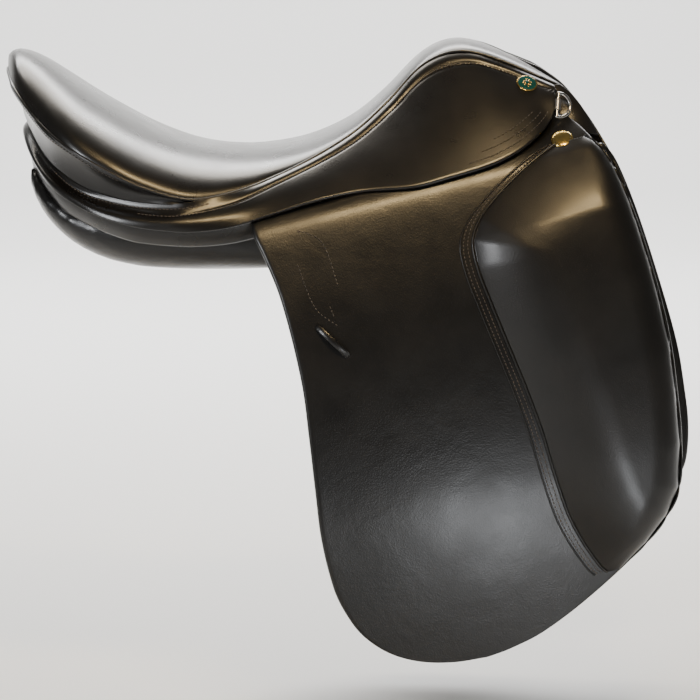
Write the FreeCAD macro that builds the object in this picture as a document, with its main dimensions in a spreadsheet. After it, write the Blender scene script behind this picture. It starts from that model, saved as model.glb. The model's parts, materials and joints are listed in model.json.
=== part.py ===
"""A dressage saddle: spring tree, padded seat, skirts, flaps with knee blocks, panels, girth straps.

Millimetres. X points to the pommel, Y to the rider's left, Z up. The origin lies in the channel
between the two panels. Every right-hand piece is made at negative Y; the left one is its mirror.
Outlines are pattern pieces of a 444 mm seat, graded by the length, width and depth of the seat.
"""
import FreeCAD, Part
import os
import Sketcher

Vector = FreeCAD.Vector
doc = FreeCAD.newDocument("dressage_saddle")

# ---------------------------------------------------------------- driving sizes
sheet = doc.addObject("Spreadsheet::Sheet", "sizes")
DRIVING_SIZES = [
    ("seat_length", 427, "cantle to the pommel shoulders"),
    ("seat_width", 280, "widest part of the seat"),
    ("seat_depth", 85, "height of the cantle above the dip"),
    ("seat_padding", 24, "cover and foam together"),
    ("flap_drop", 377, "fold line to the bottom edge of the flap"),
    ("leather", 4, "flaps and skirts"),
    ("cover_leather", 2.5, "seat and block covers"),
    ("facing_leather", 3, "sweat flaps, gusset and front facing"),
    ("tree_thickness", 9, "laminated rails and cantle board"),
    ("arch_thickness", 14, "wooden head of the tree"),
    ("spring_thickness", 1.5, "steel springs under the rails"),
    ("gullet_steel", 3, "plate inside the head"),
    ("web_thickness", 1.6, "seat and girth webs"),
    ("bar_diameter", 9, "stirrup bar"),
    ("bar_length", 62, "stirrup bar, straight part"),
    ("bar_gap", 8.5, "room for a stirrup leather behind the bar"),
    ("pin_diameter", 3, "pin of the safety catch"),
    ("rivet_diameter", 5, "rivets of head and bars"),
    ("strap_width", 25, "girth straps"),
    ("strap_length", 262, "girth straps"),
    ("strap_thickness", 3.5, "girth straps"),
    ("strap_pitch", 46, "centre to centre of the two girth straps"),
    ("hole_diameter", 6, "girth strap holes"),
    ("hole_pitch", 25, "girth strap holes"),
    ("guard_height", 62, "buckle guard"),
    ("guard_leather", 2.2, "buckle guard"),
    ("block_height", 22, "knee block above the flap"),
    ("dee_wire", 3, "dee wire"),
    ("dee_height", 20, "dee, between the wire's centres"),
    ("dee_reach", 11, "dee, from its straight side to the bow"),
    ("nail_diameter", 18, "ornamental nail"),
    ("badge_diameter", 17, "enamel badge"),
    ("keeper_width", 5.5, "stirrup leather keeper"),
    ("keeper_span", 35, "stirrup leather keeper"),
    ("clearance", 0.4, "between pieces that move past each other"),
]
for row, (alias, size, note) in enumerate(DRIVING_SIZES, start=1):
    sheet.set("A%d" % row, note)
    sheet.set("B%d" % row, str(size))
    sheet.setAlias("B%d" % row, alias)
doc.recompute()


def size_of(alias):
    """One driving size, as a number of millimetres."""
    return float(sheet.get(alias))


LONG = size_of("seat_length") / 427.0
WIDE = size_of("seat_width") / 280.0
DEEP = size_of("seat_depth") / 85.0
DROP = size_of("flap_drop") / 377.0
LEATHER = size_of("leather")
CLEARANCE = size_of("clearance")


def spot(x, reach, z):
    """A graded pattern point on the right-hand side, reach millimetres off the centre plane."""
    return Vector(x * LONG, -reach * WIDE, z * DEEP)


def through(points, closed=False):
    """A smooth edge through the given points."""
    curve = Part.BSplineCurve()
    curve.interpolate(points, PeriodicFlag=closed)
    return curve.toShape()


def feature(label, shape):
    """A document object that holds a shape made in code."""
    made = doc.addObject("Part::Feature", label)
    made.Label = label
    made.Shape = shape
    return made


NODES = []


def node(made, label):
    """Name a sub-part, which also names its file."""
    made.Label = label
    NODES.append(made)
    return made


def mirrored_pair(made, name):
    """Name a right-hand sub-part and mirror it to the left."""
    node(made, name + "_right")
    mirror = doc.addObject("Part::Mirroring", name + "_left")
    mirror.Source = made
    mirror.Base = Vector(0, 0, 0)
    mirror.Normal = Vector(0, 1, 0)
    node(mirror, name + "_left")


def cut(label, base, tool):
    made = doc.addObject("Part::Cut", label)
    made.Base = base
    made.Tool = tool
    return made


def common(label, base, tool):
    made = doc.addObject("Part::Common", label)
    made.Base = base
    made.Tool = tool
    return made


def fuse(label, pieces):
    made = doc.addObject("Part::MultiFuse", label)
    made.Shapes = pieces
    return made


def strip(rows, thickness, inside):
    """A sheet of leather between two edges: rows of (upper point, lower point)."""
    sections = []
    for index, (upper, lower) in enumerate(rows):
        before = rows[max(index - 1, 0)]
        after = rows[min(index + 1, len(rows) - 1)]
        along = (after[0] + after[1]) - (before[0] + before[1])
        normal = along.cross(lower - upper)
        normal.normalize()
        if normal.dot(inside - upper) < 0:
            normal = normal * -1
        back = normal * thickness
        sections.append(Part.makePolygon([upper, lower, lower + back, upper + back, upper]))
    return Part.makeLoft(sections, True, True)


def prism(label, outline, low, high):
    """A vertical prism over a plan outline of (x, y) points."""
    face = Part.Face(Part.makePolygon([Vector(x, y, low) for x, y in outline + outline[:1]]))
    return feature(label, face.extrude(Vector(0, 0, high - low)))


def origin_plane(body, role):
    return [plane for plane in body.Origin.OriginFeatures if plane.Role == role][0]


def sketch_in(body, name, role):
    sketch = body.newObject("Sketcher::SketchObject", name)
    sketch.AttachmentSupport = [(origin_plane(body, role), "")]
    sketch.MapMode = "FlatFace"
    return sketch


def add_polygon(sketch, corners):
    """Closed straight outline; each corner joins its two lines."""
    first = sketch.GeometryCount
    for index, corner in enumerate(corners):
        following = corners[(index + 1) % len(corners)]
        sketch.addGeometry(Part.LineSegment(Vector(*corner, 0), Vector(*following, 0)), False)
    for index in range(len(corners)):
        following = first + (index + 1) % len(corners)
        sketch.addConstraint(Sketcher.Constraint("Coincident", first + index, 2, following, 1))


def add_spline(sketch, points):
    curve = Part.BSplineCurve()
    curve.interpolate([Vector(x, y, 0) for x, y in points])
    sketch.addGeometry(curve, False)


def pad(body, sketch, length, symmetric=False):
    made = body.newObject("PartDesign::Pad", sketch.Name + "_pad")
    made.Profile = sketch
    made.setExpression("Length", length)
    made.SideType = "Symmetric" if symmetric else "One side"
    return made


def pocket_all(body, sketch):
    made = body.newObject("PartDesign::Pocket", sketch.Name + "_pocket")
    made.Profile = sketch
    made.Type = "ThroughAll"
    made.Midplane = True
    return made


# ---------------------------------------------------------------- seat: stations from cantle to pommel
# x, half width, height of the seam, height of the crown
SEAT_STATIONS = [
    (-241, 24, 134, 151), (-231, 68, 122, 153), (-212, 98, 101, 147), (-185, 127, 80, 131),
    (-151, 138, 61, 109), (-117, 140, 46, 90), (-84, 137, 38, 77.5), (-50, 126, 43, 73),
    (-16, 111, 55, 75), (17, 96, 71, 82.5), (48, 81, 90, 96.5), (75, 66, 114, 118),
    (100, 57, 140, 144), (118, 56, 150, 158), (135, 57, 153, 162), (152, 58, 150, 159.5),
    (175, 62, 142, 151), (215, 66, 125, 133),
]


def crown_height(station, share, inset):
    """Height of the crowned top at a share of the half width, moved inwards by inset."""
    x, half, seam, crown = station
    return seam + (crown - inset / DEEP - seam) * (1 - abs(share) ** 2.6) ** 0.65


def base_height(station, share, drop):
    """Height of a layer under the padding."""
    x, half, seam, crown = station
    base = crown - size_of("seat_padding") / DEEP
    return seam + (base - seam) * (1 - share ** 2) - drop / DEEP


ACROSS = (-1, -0.93, -0.75, -0.4, 0, 0.4, 0.75, 0.93, 1)


def across_seat(station, inset, height):
    """One line of points across the seat; height gives Z at a share of the half width."""
    points = []
    for share in ACROSS:
        point = spot(station[0], 0, height(share))
        point.y = share * (station[1] * WIDE - inset)
        points.append(point)
    return points


def closed_section(top, low):
    """A section between two lines across the seat, closed at both ends."""
    edges = [through(top), Part.makeLine(top[-1], low[-1]), through(low[::-1]),
             Part.makeLine(low[0], top[0])]
    return Part.Wire(edges)


def cover_section(station):
    """The leather over the foam: the crown line and the same line one thickness inside it."""
    outer = across_seat(station, 0, lambda share: crown_height(station, share, 0))
    inner = across_seat(station, COVER, lambda share: crown_height(station, share, COVER))
    return closed_section(outer, inner)


FOAM_SHY = 0.35


def foam_section(station):
    inset = COVER + FOAM_SHY
    top = across_seat(station, inset, lambda share: crown_height(station, share, inset))
    low = across_seat(station, inset, lambda share: base_height(station, share, 0))
    low[0] = top[0] - Vector(0, 0, 0.5)
    low[-1] = top[-1] - Vector(0, 0, 0.5)
    return closed_section(top, low)


def plate_solid(stations, share, drop, thickness):
    """A plate that follows the underside of the seat, as wide as a share of it."""
    sections = []
    for station in stations:
        rims = []
        for depth in (drop, drop + thickness):
            rim = []
            for step in (-1, -0.5, 0, 0.5, 1):
                point = spot(station[0], 0, base_height(station, step * share, depth))
                point.y = step * share * station[1] * WIDE
                rim.append(point)
            rims.append(rim)
        sections.append(closed_section(rims[0], rims[1]))
    return Part.makeLoft(sections, True, False)


COVER = size_of("cover_leather")
cover_loft = feature("cover_loft", Part.makeLoft([cover_section(s) for s in SEAT_STATIONS], True))
foam_loft = feature("foam_loft", Part.makeLoft([foam_section(s) for s in SEAT_STATIONS], True))
# the pommel is cut back in a vee that opens forward
POMMEL_EDGE = [(149, 0), (158, 12), (172, 24), (190, 38), (205, 50), (217, 66), (222, 90)]
cut_back = [(x * LONG, -reach * WIDE) for x, reach in POMMEL_EDGE]
cut_back += [(260 * LONG, -90 * WIDE), (260 * LONG, 90 * WIDE)]
cut_back += [(x * LONG, reach * WIDE) for x, reach in POMMEL_EDGE[:0:-1]]
pommel_notch = prism("pommel_notch", cut_back, 0, 250 * DEEP)
node(cut("seat_cover", cover_loft, pommel_notch), "seat_cover")
node(cut("seat_foam", foam_loft, pommel_notch), "seat_foam")

# ---------------------------------------------------------------- tree: head, rails, cantle board
# the head is an arch with legs that lean forward: the arch is padded, its side is pocketed
ARCH_HALF = [(0, 128), (24, 126), (44, 114), (58, 98), (68, 82), (76, 66), (82, 50)]


def arch_line(inset):
    """The arch's line from the right leg over the top to the left, moved inwards by inset."""
    half = [Vector(reach * WIDE, z * DEEP, 0) for reach, z in ARCH_HALF]
    full = [Vector(-point.x, point.y, 0) for point in half[:0:-1]] + half
    curve = Part.BSplineCurve()
    curve.interpolate(full)
    moved = []
    for point in full:
        tangent = curve.tangent(curve.parameter(point))[0]
        moved.append((point.x + tangent.y * inset, point.y - tangent.x * inset))
    return moved


def arch_body(name, outer_inset, inner_inset, side_outline):
    body = doc.addObject("PartDesign::Body", name)
    front = sketch_in(body, name + "_arch", "YZ_Plane")
    outer = arch_line(outer_inset)
    inner = arch_line(inner_inset)
    add_spline(front, outer)
    add_spline(front, inner)
    for end in (0, -1):
        front.addGeometry(Part.LineSegment(Vector(*outer[end], 0), Vector(*inner[end], 0)), False)
    length = pad(body, front, "sizes.seat_length")
    doc.recompute()
    side = sketch_in(body, name + "_side", "XZ_Plane")
    add_polygon(side, [(x * LONG, z * DEEP) for x, z in side_outline])
    add_polygon(side, [(-10, 0), (500 * LONG, 0), (500 * LONG, 200 * DEEP), (-10, 200 * DEEP)])
    pocket_all(body, side)
    return body


ARCH = size_of("arch_thickness")
HEAD_SIDE = [(114, 128.5), (146, 128.5), (158, 108), (176, 50), (140, 50), (118, 62), (78, 66),
             (75, 84), (98, 106)]
PLATE_SIDE = [(118, 118), (142, 118), (152, 100), (168, 58), (148, 58), (128, 84)]
head_blank = arch_body("head_blank", 0, ARCH, HEAD_SIDE)
gullet_blank = arch_body("gullet_blank", ARCH, ARCH + size_of("gullet_steel"), PLATE_SIDE)

TREE_STATIONS = SEAT_STATIONS[1:14]
TREE_DROP = size_of("web_thickness") + 1.4
tree_blank = feature("tree_blank", plate_solid(TREE_STATIONS, 0.84, TREE_DROP,
                                               size_of("tree_thickness")))


def plan(points):
    return [(x * LONG, -reach * WIDE) for x, reach in points]


RAIL_PLAN = [(-168, 42), (-168, 84), (-120, 72), (-50, 62), (20, 56), (70, 48), (108, 34),
             (108, 18), (70, 24), (20, 34), (-50, 38), (-120, 40)]
CANTLE_HALF = [(-168.5, 46), (-168.5, 92), (-200, 90), (-216, 70), (-226, 30), (-228, 0)]
CANTLE_HOLE = [(-186, 0), (-184, 24)]
rail_prism = prism("rail_prism", plan(RAIL_PLAN), 0, 200 * DEEP)
cantle_outline = plan(CANTLE_HALF) + [(x * LONG, reach * WIDE) for x, reach in CANTLE_HALF[-2::-1]]
cantle_outline += [(x * LONG, reach * WIDE) for x, reach in CANTLE_HOLE[::-1]]
cantle_outline += plan(CANTLE_HOLE[1:])
cantle_prism = prism("cantle_prism", cantle_outline, 0, 250 * DEEP)
rail_piece = common("rail_piece", tree_blank, rail_prism)
mirrored_pair(cut("tree_rail_right", rail_piece, head_blank), "tree_rail")
node(common("tree_cantle", tree_blank, cantle_prism), "tree_cantle")

SPRING_PLAN = [(-150, 54), (-150, 68), (-50, 56), (40, 50), (40, 40), (-50, 44)]
spring_blank = feature("spring_blank", plate_solid(
    TREE_STATIONS, 0.84, TREE_DROP + size_of("tree_thickness"), size_of("spring_thickness")))
spring_prism = prism("spring_prism", plan(SPRING_PLAN), 0, 200 * DEEP)
mirrored_pair(common("tree_spring_right", spring_blank, spring_prism), "tree_spring")

# seat webs: two straps along the seat and two across it, sewn into one hammock
web_blank = feature("web_blank", plate_solid(TREE_STATIONS, 0.8, 0.3, size_of("web_thickness")))
WEB_PLANS = [
    [(-196, 6), (-196, 32), (102, 22), (102, 4)],
    [(-80, -60), (-80, 60), (-52, 60), (-52, -60)],
    [(0, -54), (0, 54), (26, 54), (26, -54)],
]
web_prisms = [prism("web_long_right", plan(WEB_PLANS[0]), 0, 200 * DEEP),
              prism("web_long_left", [(x, -y) for x, y in plan(WEB_PLANS[0])], 0, 200 * DEEP),
              prism("web_across_rear", plan(WEB_PLANS[1]), 0, 200 * DEEP),
              prism("web_across_front", plan(WEB_PLANS[2]), 0, 200 * DEEP)]
web_piece = common("web_piece", web_blank, fuse("web_prisms", web_prisms))
node(cut("seat_webs", web_piece, head_blank), "seat_webs")

# rivets of the head: square to the arch, through wood and steel
RIVET_SPOTS = [(150, 61, 92), (158, 73, 70)]
rivets = []
for x, reach, z in RIVET_SPOTS:
    for side in (-1, 1):
        outward = Vector(0, side * 0.85, 0.53)
        foot = Vector(x * LONG, side * reach * WIDE, z * DEEP) - outward * (ARCH + 8)
        rivets.append(Part.makeCylinder(size_of("rivet_diameter") / 2, ARCH + 8.5, foot, outward))
rivet_group = feature("rivet_group", Part.makeCompound(rivets))
head_drilled = cut("head_drilled", head_blank, rivet_group)
node(cut("gullet_plate", gullet_blank, rivet_group), "gullet_plate")
rivet_trim = fuse("rivet_trim", [head_blank, gullet_blank])
node(common("tree_rivets", rivet_group, rivet_trim), "tree_rivets")

# ---------------------------------------------------------------- gusset and front facing
FACING = size_of("facing_leather")
SEAT_HEART = Vector(-60 * LONG, 0, 70 * DEEP)
GUSSET_ROWS = [
    ((-243, 0, 131), (-228, 0, 102)), ((-242.6, 20, 130), (-227, 30, 101)),
    ((-235, 62, 118.5), (-218, 62, 89)), ((-216.5, 95, 100.5), (-206, 88, 72)),
    ((-200, 116, 86.5), (-193, 106, 61)), ((-185, 127, 76.5), (-172, 118.5, 47.5)),
    ((-157, 136.5, 60.5), (-146, 126.5, 39)), ((-129, 139.5, 47.5), (-124, 132, 36)),
    ((-102, 139.5, 39), (-102, 136, 34.5)),
]


def both_sides(rows):
    """Rows that begin on the centre plane, continued to the other side."""
    right = [(spot(*upper), spot(*lower)) for upper, lower in rows]
    flip = [(Vector(a.x, -a.y, a.z), Vector(b.x, -b.y, b.z)) for a, b in right]
    return flip[:0:-1] + right


node(feature("cantle_facing", strip(both_sides(GUSSET_ROWS), FACING, SEAT_HEART)), "cantle_facing")

FRONT_ROWS = [
    ((150, 0, 157), (151, 0, 127)), ((160, 12, 155), (160, 12, 126)),
    ((174.5, 24, 150), (172, 22, 122)), ((192.5, 38, 143), (185, 34, 112)),
    ((207.5, 50, 134.5), (197, 44, 101)), ((220, 64, 124), (207, 52, 90)),
    ((236, 77, 103), (220, 62, 74)), ((246, 88, 86), (232, 72, 60)),
]
node(feature("front_facing", strip(both_sides(FRONT_ROWS), FACING, Vector(400 * LONG, 0, 150))),
     "front_facing")

SIDE_ROWS = [((217.5, 67, 122), (208, 72, 116)), ((226, 74, 113), (210, 79, 107)),
             ((234, 80, 103), (213, 83, 100)), ((240, 85, 95), (222, 86, 96))]
side_facing = strip([(spot(*upper), spot(*lower)) for upper, lower in SIDE_ROWS], FACING,
                    Vector(200, 0, 80))
mirrored_pair(feature("point_facing_right", side_facing), "point_facing")

# ---------------------------------------------------------------- skirts
SKIRT_HINGE = (spot(-20, 120, 45), spot(208, 70, 124))
TAIL_ROWS = [
    ((-228, 1.2, 100.5), (-227, 1.2, 85.5)), ((-226.5, 34, 99.5), (-224.5, 38, 81)),
    ((-209.5, 86, 71), (-215.5, 80, 63)), ((-195, 107, 59), (-197, 111, 46)),
    ((-173, 119.5, 45.5), (-170, 131, 30)), ((-146, 128, 37), (-150, 140, 22)),
    ((-124, 133.5, 34), (-128, 145, 16.5)), ((-85, 138.5, 34.5), (-85, 147, 12.6)),
    ((-50, 128.5, 41), (-53, 145, 16.4)), ((-22, 116.5, 51), (-22, 141.5, 27)),
]
BAND_SHARES = (0, 0.2, 0.4, 0.6, 0.8, 1)
BAND_SEAM = [(-21.5, 116, 50.8), (24, 94, 73), (66, 71.5, 104.5), (108, 58.5, 144.5),
             (160, 60.5, 147), (207, 67.5, 127.5)]
hinge_run = SKIRT_HINGE[1] - SKIRT_HINGE[0]
band_rows = []
for share, seam in zip(BAND_SHARES, BAND_SEAM):
    band_rows.append((spot(*seam), SKIRT_HINGE[0] + hinge_run * share))
tail_rows = [(spot(*upper), spot(*lower)) for upper, lower in TAIL_ROWS]
TREE_HEART = Vector(60 * LONG, 0, 60 * DEEP)
tail = feature("skirt_tail", strip(tail_rows, LEATHER, SEAT_HEART))
band = feature("skirt_band", strip(band_rows, LEATHER, TREE_HEART))
mirrored_pair(fuse("skirt_right", [tail, band]), "skirt")


def fold_frame(start, finish):
    """A placement whose X runs along a fold line and whose Z points up, square to it."""
    along = finish - start
    along.normalize()
    upward = Vector(0, 0, 1) - along * along.z
    upward.normalize()
    return FreeCAD.Placement(start, FreeCAD.Rotation(along, upward.cross(along), upward, "XZY"))


# the lifting part of the skirt lies in one plane that contains its fold line
SKIRT_SLOPE = Vector(0, -0.70, -0.715)
skirt_along = SKIRT_HINGE[1] - SKIRT_HINGE[0]
skirt_along.normalize()
skirt_up = (SKIRT_SLOPE - skirt_along * SKIRT_SLOPE.dot(skirt_along)) * -1
skirt_up.normalize()
skirt_placement = FreeCAD.Placement(SKIRT_HINGE[0], FreeCAD.Rotation(
    skirt_along, skirt_up.cross(skirt_along), skirt_up, "XZY"))
SKIRT_EDGE = [(-13, 32.5), (-2, 34), (19, 39.7), (51, 44.3), (94, 48), (122, 54.8), (156, 64.5),
              (175, 73.7), (190, 84.5), (198, 94.6), (201, 106), (201.5, 114)]


def on_skirt(x, z):
    """Place a point given by its side view on the skirt's plane, in the skirt's own axes."""
    across = skirt_up.cross(skirt_along)
    point = spot(x, 0, z)
    point.y = SKIRT_HINGE[0].y
    offset = point - SKIRT_HINGE[0]
    point.y -= offset.dot(across) / across.y
    offset = point - SKIRT_HINGE[0]
    return offset.dot(skirt_along), offset.dot(skirt_up)


skirt_body = doc.addObject("PartDesign::Body", "skirt_body")
skirt_sketch = sketch_in(skirt_body, "skirt_outline", "XZ_Plane")
edge = [on_skirt(x, z) for x, z in SKIRT_EDGE]
FOLD_GAP = 3 * CLEARANCE
top_left = (edge[0][0], -FOLD_GAP)
top_right = (edge[-1][0] - 1, -FOLD_GAP)
add_spline(skirt_sketch, edge)
for start, finish in ((edge[-1], top_right), (top_right, top_left), (top_left, edge[0])):
    skirt_sketch.addGeometry(Part.LineSegment(Vector(*start, 0), Vector(*finish, 0)), False)
skirt_pad = pad(skirt_body, skirt_sketch, "sizes.leather")
skirt_pad.Reversed = True
skirt_body.Placement = skirt_placement
mirrored_pair(skirt_body, "skirt_lift")

# ---------------------------------------------------------------- flaps: fold line and shared curve
FOLD_START = spot(-37, 145.5, 12)
FOLD_END = spot(255, 107.6, 83.3)
flap_placement = fold_frame(FOLD_START, FOLD_END)
# outward bow of the flap below its fold line: (outward, down)
FLAP_BOW = [(0, 0), (10, 30), (22, 80), (32, 150), (38, 230), (38, 300), (35, 395)]
SWEAT_BOW = [(-9.5, 2), (-7, 60), (-1.5, 125), (6.5, 195), (14, 275), (19, 350)]


def bow_curve(bow, offset):
    """The bow as a list of local (Y, Z) points, moved inwards by offset."""
    points = [Vector(-out * WIDE, -down * DROP, 0) for out, down in bow]
    curve = Part.BSplineCurve()
    curve.interpolate(points)
    moved = []
    for point in points:
        tangent = curve.tangent(curve.parameter(point))[0]
        moved.append((point.x - tangent.y * offset, point.y + tangent.x * offset))
    return moved


def curved_sheet(name, bow, start_offset, thickness, outline):
    """A sheet bowed like a flap, cut to an outline of local (X, Z) points."""
    body = doc.addObject("PartDesign::Body", name)
    profile = sketch_in(body, name + "_bow", "YZ_Plane")
    outer = bow_curve(bow, start_offset)
    inner = bow_curve(bow, start_offset + thickness)
    add_spline(profile, outer)
    add_spline(profile, inner)
    for end in (0, -1):
        profile.addGeometry(Part.LineSegment(Vector(*outer[end], 0), Vector(*inner[end], 0)), False)
    sheet_pad = pad(body, profile, "sizes.seat_length")
    doc.recompute()
    pattern = sketch_in(body, name + "_pattern", "XZ_Plane")
    points = [(x * LONG, z * DROP) for x, z in outline]
    add_spline(pattern, points)
    pattern.addGeometry(Part.LineSegment(Vector(*points[-1], 0), Vector(*points[0], 0)), False)
    reach = 600 * LONG
    add_polygon(pattern, [(-reach, 100), (-reach, -600 * DROP), (reach, -600 * DROP), (reach, 100)])
    pocket_all(body, pattern)
    body.Placement = flap_placement
    return body


FLAP_OUTLINE = [(1.5, -0.6), (5, -18), (9.6, -54), (9, -121), (3.6, -167), (-1.8, -208), (-6.4, -247),
                (-6.3, -288), (-2.3, -309), (7, -332), (32.5, -359), (63, -372), (102, -377),
                (151, -369), (196, -350), (246, -322), (274, -298.7), (288, -278), (297, -242),
                (301, -210), (306.6, -162), (306.7, -107.6), (302, -45), (292, -0.6)]
mirrored_pair(curved_sheet("flap_body", FLAP_BOW, 0, LEATHER, FLAP_OUTLINE), "flap")

SWEAT_OUTLINE = [(20, -8), (26, -50), (32, -123), (22, -203), (15, -263), (34, -304), (80, -328),
                 (141, -334), (205, -327), (262, -307), (290, -281), (301, -267), (310, -239),
                 (314, -210), (317, -171), (315, -112), (310, -53), (298, -8)]
sweat_sheet = curved_sheet("sweat_body", SWEAT_BOW, 0, FACING, SWEAT_OUTLINE)

# the girth straps hang plumb in the side view, between the flap and the sweat flap
STRAP_WIDTH = size_of("strap_width")
STRAP = size_of("strap_thickness")
STRAP_LENGTH = size_of("strap_length")
STRAP_PITCH = size_of("strap_pitch")
strap_along = Vector(1, 0.13 * WIDE / LONG, 0)
strap_along.normalize()
strap_down = Vector(0, -0.0897 * WIDE, -1)
strap_down = strap_down - strap_along * strap_down.dot(strap_along)
strap_down.normalize()
strap_up = strap_down * -1
strap_top = spot(98, 122.5, 30)
strap_placement = FreeCAD.Placement(strap_top, FreeCAD.Rotation(
    strap_along, strap_up.cross(strap_along), strap_up, "XZY"))
half_web = (STRAP_PITCH + STRAP_WIDTH) / 2
web_room = feature("web_room", Part.makeBox(2 * half_web + 4, 40, 60, Vector(-half_web - 2, -20, -3)))
web_room.Placement = strap_placement
mirrored_pair(cut("sweat_flap_right", sweat_sheet, web_room), "sweat_flap")

# the fixed top of the flap, from under the skirt to the fold line
FLAP_TOP_UPPER = [(-33, 120, 28), (0, 116, 38), (47, 106, 50), (94, 101, 66), (141, 97, 79),
                  (180, 90, 92), (206, 87, 97), (232, 96, 93)]
fold_run = FOLD_END - FOLD_START
FLAP_TOP_SHARES = (0.004, 0.14, 0.3, 0.46, 0.62, 0.76, 0.86, 0.955)
top_rows = []
for share, upper in zip(FLAP_TOP_SHARES, FLAP_TOP_UPPER):
    top_rows.append((spot(*upper), FOLD_START + fold_run * share + Vector(0, 0, CLEARANCE)))
top_sheet = feature("top_sheet", strip(top_rows, LEATHER, TREE_HEART))
fold_room = doc.addObject("Part::Box", "fold_room")
fold_room.setExpression("Length", "sizes.seat_length * 1.2")
fold_room.setExpression("Width", "20 * sizes.leather")
fold_room.setExpression("Height", "10 * sizes.leather")
fold_room.Placement = flap_placement.multiply(FreeCAD.Placement(
    Vector(-40 * LONG, -10 * LEATHER, CLEARANCE - 10 * LEATHER), FreeCAD.Rotation()))
mirrored_pair(cut("flap_top_right", top_sheet, fold_room), "flap_top")

# ---------------------------------------------------------------- knee blocks
# local stations down the flap: (depth, seam side, front side, share of the full height)
BLOCK_STATIONS = [(3, 236, 291, 0.3), (18, 200, 296, 0.75), (40, 174, 299, 0.95),
                  (70, 169, 302, 1), (120, 175.5, 303, 1), (170, 182.5, 302, 1),
                  (215, 187.5, 298, 0.95), (255, 190, 291, 0.8), (290, 196, 276, 0.6),
                  (318, 206, 248, 0.35)]
flap_curve = Part.BSplineCurve()
flap_curve.interpolate([Vector(-out * WIDE, -down * DROP, 0) for out, down in FLAP_BOW])


def bow_at(depth):
    """Outward reach of the flap's outer face at a depth below the fold line."""
    line = Part.makeLine(Vector(-500, -depth * DROP, 0), Vector(500, -depth * DROP, 0))
    return flap_curve.toShape().distToShape(line)[1][0][0].x


def block_solid(inset):
    height = size_of("block_height") - inset
    sections = []
    for depth, seam, front, share in BLOCK_STATIONS:
        base = bow_at(depth) - CLEARANCE / 2
        left = seam * LONG + inset
        wide = front * LONG - inset - left
        level = -depth * DROP
        rise = height * share
        crown = [(0, 0), (0.05, 0.42), (0.2, 0.8), (0.5, 1), (0.78, 0.95), (0.95, 0.5), (1, 0)]
        arc = [Vector(left + wide * u, base - rise * v, level) for u, v in crown]
        sections.append(Part.Wire([through(arc), Part.makeLine(arc[-1], arc[0])]))
    return Part.makeLoft(sections, True, False)


block_outer = feature("block_outer", block_solid(0))
block_inner = feature("block_inner", block_solid(COVER))
block_cover = cut("block_cover", block_outer, block_inner)
block_outer.Placement = flap_placement
block_inner.Placement = flap_placement
mirrored_pair(block_cover, "knee_block_cover")
mirrored_pair(block_inner, "knee_block_foam")

# ---------------------------------------------------------------- panels
# x, inner, outer, top inner, top outer, bottom inner, bottom outer, sag of the top's middle
PANEL_STATIONS = [
    (-221, 46, 78, 66, 62, 50, 47, 0), (-210, 38, 96, 66, 50, 28, 26, 0),
    (-188, 34, 110, 59, 36, 0, 4, 0), (-150, 33, 118, 52, 28, -18, -14, 0),
    (-106, 33, 120, 40, 24, -24, -20, 0), (-50, 33, 114, 32, 24, -22, -22, 0),
    (0, 33, 112, 36, 24, -16, -24, 0), (50, 33, 108, 52, 32, 0, -26, 2),
    (90, 32, 103, 66, 34, 14, -28, 7), (130, 31, 99, 78, 34, 26, -28, 14),
    (170, 34, 97, 84, 40, 36, -26, 16), (205, 42, 94, 76, 46, 34, -16, 12),
    (226, 52, 90, 62, 48, 30, 4, 6),
]


def panel_section(station):
    x, inner, outer, top_in, top_out, low_in, low_out, sag = station
    wide = outer - inner
    middle = (inner + outer) / 2
    points = [
        (inner, (top_in + low_in) / 2), (inner + 0.14 * wide, top_in),
        (middle, (top_in + top_out) / 2 - sag), (outer - 0.16 * wide, top_out),
        (outer, (top_out + low_out) / 2), (outer - 0.16 * wide, low_out),
        (middle, (low_in + low_out) / 2), (inner + 0.14 * wide, low_in),
    ]
    return Part.Wire([through([spot(x, reach, z) for reach, z in points], closed=True)])


panel_sections = [panel_section(station) for station in PANEL_STATIONS]
panel_solid = feature("panel_solid", Part.makeLoft(panel_sections, True, False))
mirrored_pair(panel_solid, "panel")

# ---------------------------------------------------------------- stirrup bars with safety catches
BAR = size_of("bar_diameter")
BAR_LENGTH = size_of("bar_length")
BAR_GAP = size_of("bar_gap")
PIN = size_of("pin_diameter")
BAR_PLATE = 6.0
# local frame: X forward along the bar, Y away from the rider's leg, Z up, tilted like the head's leg
bar_axis = Vector(1, 0.1, 0.12)
bar_axis.normalize()
leg_face = Vector(0, 0.93, -0.37)
leg_face = leg_face - bar_axis * leg_face.dot(bar_axis)
leg_face.normalize()
bar_placement = FreeCAD.Placement(spot(84, 72, 75), FreeCAD.Rotation(
    bar_axis, leg_face, bar_axis.cross(leg_face), "XYZ"))
bar_line = -(BAR_GAP + BAR / 2)
plate = Part.makeBox(BAR_LENGTH + 2, BAR_PLATE, 18, Vector(4, -1.5, -9))
arm = Part.makeCylinder(BAR / 2, BAR_GAP + BAR / 2, Vector(BAR_LENGTH, 0, 0), Vector(0, -1, 0))
bar_rod = Part.makeCylinder(BAR / 2, BAR_LENGTH, Vector(0, bar_line, 0), Vector(1, 0, 0))
knuckle = Part.makeSphere(BAR / 2, Vector(BAR_LENGTH, bar_line, 0))
fork = Part.makeBox(12, BAR, BAR, Vector(-6, bar_line - BAR / 2, -BAR / 2))
catch_room = Part.makeBox(16, BAR / 2 + 2 * CLEARANCE, 40,
                          Vector(-10, bar_line - BAR / 4 - CLEARANCE, -20))
pin_hole = Part.makeCylinder(PIN / 2, 40, Vector(0, bar_line - 20, 0), Vector(0, 1, 0))
bar_shape = plate.fuse([arm, bar_rod, knuckle, fork]).cut(catch_room).cut(pin_hole).removeSplitter()
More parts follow.
